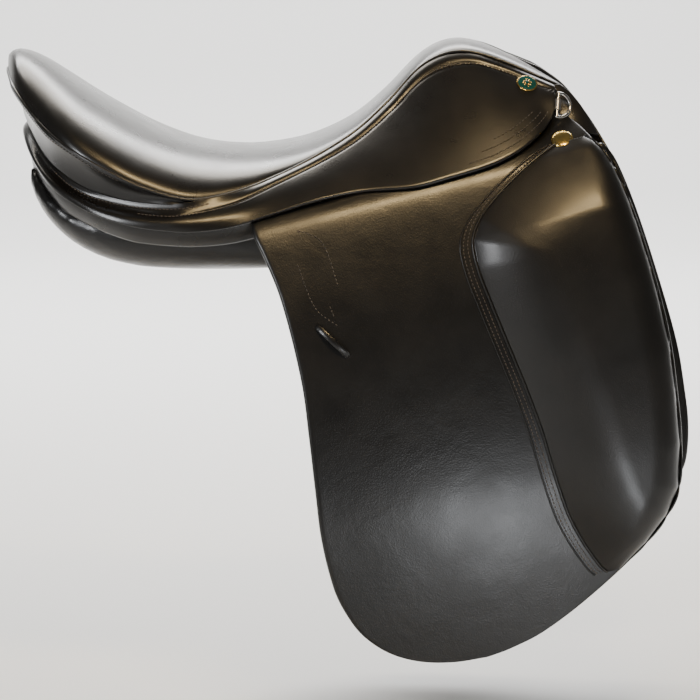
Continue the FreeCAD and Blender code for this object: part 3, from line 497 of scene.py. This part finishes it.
FLAP_REAR = [  # depth, place along the fold
    (-40, 20), (-20, 10), (-4, 1.5), (18, 5), (54, 9.6), (121, 9), (167, 3.6), (208, -1.8),
    (247, -6.4), (288, -6.3), (309, -2.3), (332, 7), (352, 24), (366, 47), (374, 74), (377, 101),
]
FLAP_FRONT = [
    (-40, 262), (-24, 279), (-8, 287), (8, 294), (45, 302.5), (108, 306.7), (162, 306.6),
    (210, 301.5), (242, 297), (278, 288), (298.7, 274), (322, 246), (350, 196), (369, 151),
    (375.5, 120), (377, 103),
]
FLAP_ROWS, FLAP_COLUMNS = 96, 72


def flap_surface(x, depth):
    """The bow plus slow waves where the hide has taken the shape of the rider's leg."""
    wave = 1.6 * math.sin(x / 58 + 0.8) * math.sin(depth / 120)
    curl = 2.2 * math.exp(-(x + 4) / 22) * math.sin(min(max(depth, 0), 300) / 300 * math.pi)
    return at_depth(depth, bow_line) + wave * min(max(depth, 0) / 120, 1) + curl


flap_rows = []
for level, back, fore in outline_rows(FLAP_REAR, FLAP_FRONT, FLAP_ROWS):
    row = []
    for column in range(FLAP_COLUMNS):
        x = back + (fore - back) * column / (FLAP_COLUMNS - 1)
        row.append(hang(x, level, flap_surface(x, level)))
    flap_rows.append(row)
flap = skin("flap_leather_right", flap_rows)
face_away_from(flap, (0.12, 0, -0.1))
thicken(flap, HIDE["flap"])
flap_hide = black_leather("flap_bridle", (0.0042, 0.0041, 0.0042), (0.0090, 0.0084, 0.0080),
                          0.33, 0.35, 0.22, pores=900.0)
flap.data.materials.append(flap_hide)
flap_twin = left_twin(flap, "flap_leather_left")
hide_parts("flap_right", "flap_top_right")
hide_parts("flap_left", "flap_top_left")
for piece, (side, flip) in zip((flap, flap_twin), RIGHT_LEFT):
    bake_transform(piece)


# The knee block is firm foam under calf leather, sewn to the front of the flap. A welt and two
# rows of stitching mark its rear edge; its front edge is rolled over the foam.
BLOCK = [  # depth, rear x, front x
    (-9, 262, 280.8), (-5, 247, 285.8), (4, 226, 291.3), (18, 201, 295.8), (32, 182, 298.3),
    (48, 171, 300.3), (70, 169, 301.8), (100, 172.5, 303.3), (128, 176.5, 303.6), (168, 182.5, 303.1),
    (207, 187, 298.6), (246, 189, 292.8), (280, 192.5, 283.8), (300, 197.5, 269.3), (318, 204, 247.8),
    (330, 209.5, 228.8), (334, 213, 223),
]
BLOCK_TOP, BLOCK_FOOT = BLOCK[0][0], BLOCK[-1][0]
BLOCK_ROWS, BLOCK_COLUMNS = 150, 72
BLOCK_RISE = 22.5
SOFT_EDGE, FIRM_EDGE = 60, 27  # how far from each edge the foam is still rising
block_edge = [(depth, back) for depth, back, front in BLOCK]
block_lines = [profile(block_edge, 300), profile([(row[0], row[2]) for row in BLOCK], 300)]
sewn_edge = [Vector((x, depth)) for depth, x, front in BLOCK]
rolled_edge = [Vector((front, depth)) for depth, x, front in BLOCK]


def away_from_edge(place, edge):
    """Distance from a place to a line of points."""
    best = 1e9
    for first, second in zip(edge, edge[1:]):
        run = second - first
        share = min(max((place - first).dot(run) / run.length_squared, 0), 1)
        best = min(best, (place - first - run * share).length)
    return best


def block_height(x, depth):
    """The foam rises softly from the sewn edge and rolls over quickly at the front."""
    place = Vector((x, depth))
    soft = min(away_from_edge(place, sewn_edge) / SOFT_EDGE, 1)
    firm = min(away_from_edge(place, rolled_edge) / FIRM_EDGE, 1)
    swell = math.sin(math.pi / 2 * soft) ** 0.85 * math.sqrt(1 - (1 - firm) ** 2.2)
    top = min(max((depth + 14) / 60, 0), 1)
    return BLOCK_RISE * swell * (0.55 + 0.45 * top) * (1 - 0.10 * math.sin(depth / 110))


block_rows = []
for step in range(BLOCK_ROWS):
    level = BLOCK_TOP + (BLOCK_FOOT - BLOCK_TOP) * (1 - math.cos(math.pi * step / (BLOCK_ROWS - 1))) / 2
    back, fore = (at_depth(level, line) for line in block_lines)
    row = []
    for column in range(BLOCK_COLUMNS):
        x = back + (fore - back) * (1 - math.cos(math.pi * column / (BLOCK_COLUMNS - 1))) / 2
        row.append(hang(x, level, flap_surface(x, level) + 0.7 + block_height(x, level)))
    block_rows.append(row)
block = skin("knee_block_right", block_rows)
face_away_from(block, (0.12, 0, -0.1))
thicken(block, HIDE["block"], levels=0)
block_hide = black_leather("block_calf", (0.0048, 0.0044, 0.0040), (0.0100, 0.0085, 0.0075),
                           0.37, 0.30, 0.10)
block.data.materials.append(block_hide)
block_twin = left_twin(block, "knee_block_left")
for piece, side in ((block, "right"), (block_twin, "left")):
    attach(piece, "flap_" + side)
    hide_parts("knee_block_cover_" + side, "knee_block_foam_" + side)

for offset, radius, name in ((-0.4, 1.3, "block_welt"), (-10.8, 0.8, "block_band_welt")):
    path = []
    for depth, x in block_edge:
        path.append(hang(x + offset, depth, flap_surface(x + offset, depth) + radius * 0.55))
    welt_right = tube(name + "_right", path, radius / MM, 260)
    welt_right.data.materials.append(block_hide)
    welt_left = left_twin(welt_right, name + "_left")
    for piece, side in ((welt_right, "right"), (welt_left, "left")):
        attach(piece, "flap_" + side)


# The keeper is a narrow strap, both ends let through the flap: the stirrup leather's end tucks
# under it. Worn leather, so its edges are rounded.
KEEPER_TOP = (14.5, -58.5)
KEEPER_FOOT = (42.5, -85.0)
KEEPER_WIDE = 0.0055
KEEPER_RISE = 0.0082
KEEPER_STEPS, KEEPER_COLUMNS = 33, 9


def flap_spot(x, z, lift=0.0):
    """The place on the flap that stands at x and z in the side view, in millimetres."""
    sideways = x - FOLD_START.x * MM
    depth = FOLD_START.z * MM - z
    for _ in range(8):
        place = hang(sideways, depth, flap_surface(sideways, depth)) * MM
        sideways += x - place.x
        depth += place.z - z
    return hang(sideways, depth, flap_surface(sideways, depth) + lift)


keeper_top = flap_spot(*KEEPER_TOP)
keeper_foot = flap_spot(*KEEPER_FOOT)
across_keeper = (keeper_foot - keeper_top).cross(inward).normalized()
keeper_rows = []
for step in range(KEEPER_STEPS):
    share = step / (KEEPER_STEPS - 1)
    middle = keeper_top.lerp(keeper_foot, share)
    rise_here = KEEPER_RISE * math.sin(math.pi * share) ** 0.55 - 0.002
    row = []
    for column in range(KEEPER_COLUMNS):
        side = column / (KEEPER_COLUMNS - 1) - 0.5
        row.append(middle - inward * (rise_here - 0.0006 * (2 * side) ** 2)
                   + across_keeper * side * KEEPER_WIDE)
    keeper_rows.append(row)
keeper = skin("keeper_strap_right", keeper_rows)
face_away_from(keeper, (0.028, -0.10, -0.072))
thicken(keeper, HIDE["keeper"])
keeper.data.materials.append(flap_hide)
keeper_twin = left_twin(keeper, "keeper_strap_left")
for piece, side in ((keeper, "right"), (keeper_twin, "left")):
    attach(piece, "flap_" + side)
    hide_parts("keeper_loop_" + side)


# The sweat flap is a thin sheet under the flap, sewn to the panel; it shows only ahead of the
# flap's front edge.
SWEAT_BOW = [(0, -10), (60, -7), (125, -1.5), (195, 6.5), (275, 14), (350, 19)]
SWEAT_REAR = [
    (0, 180), (30, 22), (50, 26), (123, 32), (203, 22), (263, 15), (304, 34), (328, 80), (334, 141),
]
SWEAT_FRONT = [
    (0, 296), (14, 303), (53, 310), (112, 315), (171, 317), (210, 314), (239, 310), (267, 301),
    (281, 290), (307, 262), (327, 205), (333.5, 160), (334, 143),
]
SWEAT_ROWS, SWEAT_COLUMNS = 80, 40
sweat_bow = profile(SWEAT_BOW, 200)
sweat_edges = [profile(SWEAT_REAR, 300), profile(SWEAT_FRONT, 300)]
sweat_rows = []
for step in range(SWEAT_ROWS):
    level = SWEAT_REAR[-1][0] * math.sin(step / (SWEAT_ROWS - 1) * math.pi / 2)
    back, fore = (at_depth(level, line) for line in sweat_edges)
    out = at_depth(level, sweat_bow)
    sweat_rows.append([hang(back + (fore - back) * column / (SWEAT_COLUMNS - 1), level, out)
                       for column in range(SWEAT_COLUMNS)])
sweat = skin("sweat_leather_right", sweat_rows)
face_away_from(sweat, (0.12, 0, -0.1))
thicken(sweat, HIDE["sweat"])
sweat.data.materials.append(flap_hide)
sweat_twin = left_twin(sweat, "sweat_leather_left")
for piece, side in ((sweat, "right"), (sweat_twin, "left")):
    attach(piece, "saddle")
    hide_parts("sweat_flap_" + side)


# The two panels are wool-stuffed cushions of soft leather; their faces are full and smooth and
# their gussets wrinkle a little where the panel turns up behind.
STUFFING_PRESSURE = 4
STUFFING_FRAMES = 20


def stuffed(name, node, shrink, cap):
    """A copy of the plain pad, remeshed, shrunk, blown up by cloth pressure and smoothed. No
    point ends further than cap from where it began."""
    made = nodes[node].copy()
    made.data = nodes[node].data.copy()
    made.name = name
    made.data.name = name
    made.parent = None
    bpy.context.collection.objects.link(made)
    pick(made)
    bpy.ops.object.mode_set(mode="EDIT")
    bpy.ops.mesh.select_all(action="SELECT")
    bpy.ops.mesh.remove_doubles(threshold=1e-5)
    bpy.ops.object.mode_set(mode="OBJECT")
    remesh = made.modifiers.new("even quads", "REMESH")
    remesh.mode = "VOXEL"
    remesh.voxel_size = 0.005
    bpy.ops.object.modifier_apply(modifier=remesh.name)
    relax = made.modifiers.new("relax", "SMOOTH")
    relax.iterations = 6
    bpy.ops.object.modifier_apply(modifier=relax.name)
    start = [vertex.co.copy() for vertex in made.data.vertices]
    normals = [vertex.normal.copy() for vertex in made.data.vertices]
    for vertex, normal in zip(made.data.vertices, normals):
        vertex.co -= normal * shrink
    cloth = made.modifiers.new("stuffing", "CLOTH")
    cloth.settings.use_pressure = True
    cloth.settings.uniform_pressure_force = STUFFING_PRESSURE
    cloth.settings.effector_weights.gravity = 0
    for number in range(1, STUFFING_FRAMES + 1):
        bpy.context.scene.frame_set(number)
    bpy.ops.object.modifier_apply(modifier=cloth.name)
    bpy.context.scene.frame_set(1)
    for vertex, origin in zip(made.data.vertices, start):
        move = vertex.co - origin
        if move.length > cap:
            vertex.co = origin + move * (cap / move.length)
    settle = made.modifiers.new("settle", "SMOOTH")
    settle.iterations = 3
    bpy.ops.object.modifier_apply(modifier=settle.name)
    finer = made.modifiers.new("finer", "SUBSURF")
    finer.levels = 1
    finer.render_levels = 1
    bpy.ops.object.modifier_apply(modifier=finer.name)
    smooth(made)
    made.data.materials.clear()
    return made


panel_hide = black_leather("panel_calf", (0.0050, 0.0047, 0.0045), (0.0110, 0.0095, 0.0085),
                           0.30, 0.4, 0.55)
panel = stuffed("panel_stuffed_right", "panel_right", 0.002, 0.003)
panel.data.materials.append(panel_hide)
panel_twin = left_twin(panel, "panel_stuffed_left")
for piece, side in ((panel, "right"), (panel_twin, "left")):
    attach(piece, "saddle")
    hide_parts("panel_" + side)


# The front facing is a strip of leather round the pommel's open front, from the seat's edge
# down to the points, with a side piece behind each dee.
FRONT = [
    ((149, 0, 158.5), (151, 0, 126)), ((157.5, 12, 156.5), (160, 12, 125)),
    ((171, 24, 151.5), (172, 22, 121)), ((190, 38, 144), (185, 34, 111)),
    ((206, 50, 136), (197, 44, 100)), ((219, 65, 125.5), (207, 52, 89)),
    ((236, 77.5, 103.5), (220, 62, 73)), ((247, 88, 86), (232, 72, 59)),
    ((257, 97, 68), (244, 82, 42)), ((266, 103, 48), (254, 88, 22)),
]
SIDE = [
    ((214, 66.5, 127), (200, 66, 124)), ((221, 69.5, 122), (206, 74, 114)),
    ((229, 75, 113), (209, 81, 105)), ((237, 80.5, 101), (213, 86, 96)),
    ((245, 89, 87), (222, 92, 88)),
]
for rows, name, heart in ((FRONT, "front_strip", (0.1, 0, 0.1)), (SIDE, "side_strip", (0.15, 0, 0.08))):
    strip = skin(name + "_right", band(rows, 60, 14, belly(1.6)))
    face_away_from(strip, heart)
    thicken(strip, HIDE["facing"])
    strip.data.materials.append(seat_hide)
    twin = left_twin(strip, name + "_left")
    for piece, side in ((strip, "right"), (twin, "left")):
        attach(piece, "saddle")
        if name == "side_strip":
            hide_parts("point_facing_" + side)
    if name == "front_strip":
        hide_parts("front_facing")


# Saddler's stitches: waxed dark thread, eight to the inch, each a short rod half sunk in its
# groove.
thread, tree, shader = new_paint("waxed_thread")
fibre = tangle(tree, "ShaderNodeTexNoise", 2200.0, Detail=2.0)
two_tones(tree, shader, fibre.outputs["Fac"], (0.060, 0.050, 0.042), (0.150, 0.125, 0.105))
shader.inputs["Roughness"].default_value = 0.55
STITCH_RINGS = ((-0.5, 0.45), (-0.25, 1), (0.25, 1), (0.5, 0.45))  # place along it, width there
STITCH_SIDES = 5


def stitched(name, path, outward, pitch=0.0031, length=0.0022, radius=0.00042):
    """A row of stitches along a path; outward gives the surface normal at a point."""
    total = 0
    for first, second in zip(path, path[1:]):
        total += (second - first).length
    line = spline(path, max(int(total / pitch), 4))
    rows, faces = [], []
    for first, second in zip(line, line[1:]):
        axis = (second - first).normalized()
        out = outward(first)
        side = axis.cross(out).normalized()
        out = side.cross(axis)
        middle = (first + second) / 2 + out * radius * 0.3
        base = len(rows)
        for share, swell in STITCH_RINGS:
            for turn in range(STITCH_SIDES):
                angle = 2 * math.pi * turn / STITCH_SIDES
                rows.append(middle + axis * length * share
                            + (side * math.cos(angle) + out * math.sin(angle)) * radius * swell)
        last = base + (len(STITCH_RINGS) - 1) * STITCH_SIDES
        for ring in range(base, last, STITCH_SIDES):
            for turn in range(STITCH_SIDES):
                a = ring + turn
                b = ring + (turn + 1) % STITCH_SIDES
                faces.append((a, b, b + STITCH_SIDES, a + STITCH_SIDES))
        faces.append(tuple(base + turn for turn in reversed(range(STITCH_SIDES))))
        faces.append(tuple(last + turn for turn in range(STITCH_SIDES)))
    mesh = bpy.data.meshes.new(name)
    mesh.from_pydata([tuple(row) for row in rows], [], faces)
    mesh.update()
    made = bpy.data.objects.new(name, mesh)
    bpy.context.collection.objects.link(made)
    smooth(made)
    pick(made)
    bpy.ops.object.mode_set(mode="EDIT")
    bpy.ops.mesh.select_all(action="SELECT")
    bpy.ops.mesh.normals_make_consistent(inside=False)
    bpy.ops.object.mode_set(mode="OBJECT")
    made.data.materials.append(thread)
    return made


def below_seam(rows, distance, first, last, lift):
    """A line on a band, a distance in millimetres below its upper edge."""
    line = []
    for index in range(first, last):
        row = rows[index]
        left = distance / MM
        for start, finish in zip(row, row[1:]):
            step = (finish - start).length
            if step >= left:
                break
            left -= step
        after = rows[min(index + 1, len(rows) - 1)][0] - rows[max(index - 1, 0)][0]
        out = after.cross(row[-1] - row[0]).normalized()
        if out.y > 0:
            out = -out
        line.append(start.lerp(finish, min(left / step, 1)) + out * lift / MM)
    return line


def flap_path(points, lift=0.15):
    """A line just above the flap through (depth, x) pairs."""
    return [hang(x, depth, flap_surface(x, depth) + lift) for depth, x in points]


def outward_of_flap(point):
    """The flap is flat enough for one direction to do for all of it."""
    return -inward


def outward_of_saddle(point):
    """Away from a line inside the tree."""
    return (point - Vector((point.x * 0.6, 0, 0.02))).normalized()


BLOCK_SEAMS = (("block_stitch_outer", -8.2), ("block_stitch_inner", -4.6))
MOTIF = [  # x and z of the corners of the three lines above the keeper
    [(0.6, 14.5), (29.9, -53.1)], [(0.6, 14.5), (19.5, 5.8), (33, -28.7)],
    [(0.6, -11.8), (15.6, -46.9), (33, -60.3)],
]
SEAM_LIFT = 0.35
from_below = [row[::-1] for row in skirt_rows]
rows_of_stitches = []
for name, offset in BLOCK_SEAMS:
    path = flap_path([(depth, x + offset) for depth, x in block_edge])
    rows_of_stitches.append((name, "flap", path, outward_of_flap))
for index, line in enumerate(MOTIF):
    path = [flap_spot(x, z, 0.1) for x, z in line]
    rows_of_stitches.append(("flap_motif_%d" % index, "flap", path, outward_of_flap))
seams = [("skirt_stitch", below_seam(skirt_rows, 12.2, 48, 131, SEAM_LIFT))]
for number, distance in enumerate((8.0, 14.5, 21.0)):
    seams.append(("skirt_front_stitch_%d" % number,
                  below_seam(from_below, distance, 114 + 3 * number, 135 - 2 * number, SEAM_LIFT)))
seams.append(("tail_stitch", below_seam(skirt_rows, 5, 26, 62, SEAM_LIFT)))
seams.append(("gusset_stitch", below_seam(gusset_rows, 3.2, 8, 62, 0.3)))
for name, path in seams:
    rows_of_stitches.append((name, "saddle", path, outward_of_saddle))
for name, body, path, outward in rows_of_stitches:
    row = stitched(name + "_right", path, outward)
    twin = left_twin(row, name + "_left")
    for piece, side in ((row, "right"), (twin, "left")):
        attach(piece, body if body == "saddle" else body + "_" + side)


# Metal: the forged stirrup bars, the nickel dees, the gilt nail and the enamel badge.
def metal(name, colour, roughness):
    """Worked metal, hazed unevenly by handling."""
    made, tree, shader = new_paint(name)
    shader.inputs["Metallic"].default_value = 1.0
    haze = tangle(tree, "ShaderNodeTexNoise", 90.0, Detail=6.0, Roughness=0.7)
    tree.links.new(ramp(tree, haze.outputs["Fac"], roughness - 0.05, roughness + 0.1, 0.3, 0.7),
                   shader.inputs["Roughness"])
    two_tones(tree, shader, haze.outputs["Fac"], [c * 0.8 for c in colour], colour)
    return made


def plain(name, dark, light, roughness, scale, bump=0.3):
    """Wood, web and foam: two tones and a relief of one noise."""
    made, tree, shader = new_paint(name)
    noise = tangle(tree, "ShaderNodeTexNoise", scale, Detail=5.0)
    two_tones(tree, shader, noise.outputs["Fac"], dark, light)
    tree.links.new(relief(tree, noise.outputs["Fac"], bump, 0.0005).outputs["Normal"],
                   shader.inputs["Normal"])
    shader.inputs["Roughness"].default_value = roughness
    return made


# The nail holds the flap under the skirt: a domed brass head with a ring of dark dots. The badge
# is a green enamel disc in a gilt rim; it carries a plain eight-pointed star.
brass = metal("gilt_brass", (0.90, 0.64, 0.20), 0.16)
enamel, tree, shader = new_paint("green_enamel")
cloud = tangle(tree, "ShaderNodeTexNoise", 300.0, Detail=3.0)
two_tones(tree, shader, cloud.outputs["Fac"], (0.004, 0.045, 0.038), (0.010, 0.110, 0.090))
shader.inputs["Roughness"].default_value = 0.12
shader.inputs["Coat Weight"].default_value = 0.6


def merged(name, pieces):
    """Several meshes as one piece."""
    bpy.ops.object.select_all(action="DESELECT")
    for piece in pieces:
        piece.select_set(True)
    bpy.context.view_layer.objects.active = pieces[0]
    bpy.ops.object.join()
    made = bpy.context.active_object
    made.name = name
    made.data.name = name
    return made


def disc(radius, height, level, paint, sides=48, points=0):
    """A round plate on the Z axis with a softened rim; points makes a star of it."""
    bpy.ops.mesh.primitive_cylinder_add(vertices=sides, radius=radius, depth=height,
                                        location=(0, 0, level + height / 2))
    made = bpy.context.active_object
    bpy.ops.object.transform_apply(location=True)
    if points:
        for vertex in made.data.vertices:
            turn = math.atan2(vertex.co.y, vertex.co.x)
            pull = 0.72 + 0.28 * math.cos(points * turn)
            vertex.co.x *= pull
            vertex.co.y *= pull
    soft = made.modifiers.new("soft rim", "BEVEL")
    soft.width = min(height * 0.4, 0.0003)
    soft.segments = 2
    bpy.ops.object.modifier_apply(modifier=soft.name)
    smooth(made)
    made.data.materials.append(paint)
    return made


def dome(radius, rise_height, level, paint):
    """A shallow cap on the Z axis."""
    bpy.ops.mesh.primitive_uv_sphere_add(segments=48, ring_count=24, radius=radius)
    made = bpy.context.active_object
    for vertex in made.data.vertices:
        vertex.co.z = level + max(vertex.co.z, -radius * 0.1) / radius * rise_height
    smooth(made)
    made.data.materials.append(paint)
    return made


def seated(made, point, normal):
    """Lay a piece made on the Z axis at a point, its top along the normal."""
    turn = Vector(normal).to_track_quat("Z", "Y").to_matrix().to_4x4()
    made.data.transform(Matrix.Translation(Vector(point)) @ turn)


dark_dot = plain("dark_dot", (0.02, 0.015, 0.01), (0.05, 0.04, 0.02), 0.5, 500.0)
NAIL_DOTS = 13
DOT_RING = 0.0068
parts_of_nail = [disc(0.009, 0.0012, 0.0, brass), dome(0.0086, 0.0021, 0.0011, brass)]
for number in range(NAIL_DOTS):
    turn = 2 * math.pi * number / NAIL_DOTS
    dot = disc(0.0005, 0.0006, 0.0020, dark_dot, sides=12)
    dot.data.transform(Matrix.Translation((DOT_RING * math.cos(turn), DOT_RING * math.sin(turn), 0)))
    parts_of_nail.append(dot)
nail = merged("flap_nail_head_right", parts_of_nail)
parts_of_badge = [disc(0.0085, 0.0012, 0.0, brass), disc(0.0075, 0.0009, 0.0006, enamel),
                  disc(0.0042, 0.0006, 0.0013, brass, sides=64, points=8),
                  disc(0.0016, 0.0005, 0.0018, enamel, sides=32)]
badge = merged("badge_disc_right", parts_of_badge)
for made, node_name, hide, normal, lift, slot_name in (
        (nail, "flap_nail", flap, (0.1, -0.75, 0.5), 0.0004, "nail_metal"),
        (badge, "badge", skirt, (0.06, -0.88, 0.47), -0.0002, "badge_enamel")):
    low_corner, high_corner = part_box(node_name + "_right")
    centre = (Vector(low_corner) + Vector(high_corner)) / 2
    direction = Vector(normal).normalized()
    faces = BVHTree.FromPolygons([v.co for v in hide.data.vertices],
                                 [f.vertices for f in hide.data.polygons])
    place, slope = faces.ray_cast(centre + direction * 0.05, -direction)[:2]
    seated(made, place + slope * lift, slope)
    twin = left_twin(made, made.name.replace("right", "left"))
    for piece, side in ((made, "right"), (twin, "left")):
        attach(piece, "saddle")
        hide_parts(node_name + "_" + side)


# Every part that is shown as the frame gives it takes the finish of its own material.
finishes = {
    "forged_steel": metal("satin_steel", (0.62, 0.62, 0.63), 0.28),
    "spring_steel": metal("blued_steel", (0.30, 0.31, 0.34), 0.35),
    "rivet_steel": metal("rivet_steel", (0.55, 0.55, 0.56), 0.32),
    "dee_metal": metal("nickel_plate", (0.80, 0.79, 0.77), 0.14),
    "nail_metal": brass,
    "badge_enamel": brass,
    "beech_laminate": plain("beech_laminate", (0.42, 0.27, 0.14), (0.60, 0.42, 0.25), 0.4, 120.0),
    "webbing": plain("linen_web", (0.50, 0.47, 0.40), (0.72, 0.69, 0.62), 0.85, 900.0, 0.6),
    "foam": plain("foam", (0.70, 0.65, 0.50), (0.82, 0.78, 0.62), 0.9, 400.0),
    "strap_leather": black_leather("strap_bridle", (0.012, 0.009, 0.008), (0.026, 0.020, 0.016),
                                   0.40, 0.5, 0.25, pores=700.0),
    "panel_leather": panel_hide,
    "seat_leather": seat_hide,
    "flap_leather": flap_hide,
    "block_leather": block_hide,
}
for part in frame["record"]["subparts"]:
    shown = nodes[part["node"]]
    shown.data.materials.clear()
    shown.data.materials.append(finishes[part["material_slot"]])


# A plain pale floor and backdrop in one sheet, under broad soft lights.
FLOOR = [  # y and z of the sheet, in metres
    (-9, -0.42), (3.9, -0.42), (4.5, -0.36), (4.9, -0.1), (5.15, 0.4), (5.2, 1.0), (5.2, 5),
]
floor = skin("pale_floor", [[Vector((x, y, z)) for x in (-9, -3, 0, 3, 9)] for y, z in FLOOR])
paint, tree, shader = new_paint("pale_paint")
shader.inputs["Base Color"].default_value = (0.93, 0.93, 0.92, 1)
shader.inputs["Roughness"].default_value = 0.9
floor.data.materials.append(paint)

world = bpy.data.worlds.new("studio")
world.use_nodes = True
world.node_tree.nodes["Background"].inputs["Color"].default_value = (1.0, 0.97, 0.93, 1)
world.node_tree.nodes["Background"].inputs["Strength"].default_value = 0.10
bpy.context.scene.world = world


def soft_light(name, place, target, size, power, colour, spread=180):
    """A rectangular light at a place, turned to a target."""
    light = bpy.data.lights.new(name, "AREA")
    light.shape = "RECTANGLE"
    light.size, light.size_y = size
    light.energy = power
    light.color = colour
    light.spread = math.radians(spread)
    made = bpy.data.objects.new(name, light)
    made.location = place
    made.rotation_euler = (Vector(target) - Vector(place)).to_track_quat("-Z", "Y").to_euler()
    bpy.context.collection.objects.link(made)


soft_light("backdrop_wash", (0, 2.5, 2.4), (0, 3.2, -0.3), (4.0, 1.6), 300, (1.0, 0.99, 0.98))
soft_light("overhead", (-0.25, 0.75, 1.5), (-0.05, 0, 0.05), (1.4, 0.5), 20, (1.0, 0.93, 0.82))
soft_light("warm_key", (0.25, -1.15, 1.15), (0.08, -0.1, 0.05), (0.45, 0.22), 1.05,
           (1.0, 0.72, 0.36), spread=50)
soft_light("low_fill", (0.38, -0.78, -0.34), (0.17, -0.18, -0.238), (0.12, 0.09), 0.20,
           (0.93, 0.96, 1.0), spread=110)
soft_light("cool_side", (-1.1, -1.5, 0.35), (-0.1, 0, 0), (0.25, 0.5), 1.3,
           (0.95, 0.97, 1.0), spread=60)

TILT = math.radians(8)
AIM = Vector((0.0425, 0, -0.102))
DISTANCE = 2.5
lens = bpy.data.cameras.new("camera")
lens.lens = 151.3
lens.sensor_width = 36
camera = bpy.data.objects.new("camera", lens)
camera.location = AIM + DISTANCE * Vector((0, -math.cos(TILT), math.sin(TILT)))
camera.rotation_euler = (math.pi / 2 - TILT, 0, 0)
bpy.context.collection.objects.link(camera)
bpy.context.scene.camera = camera
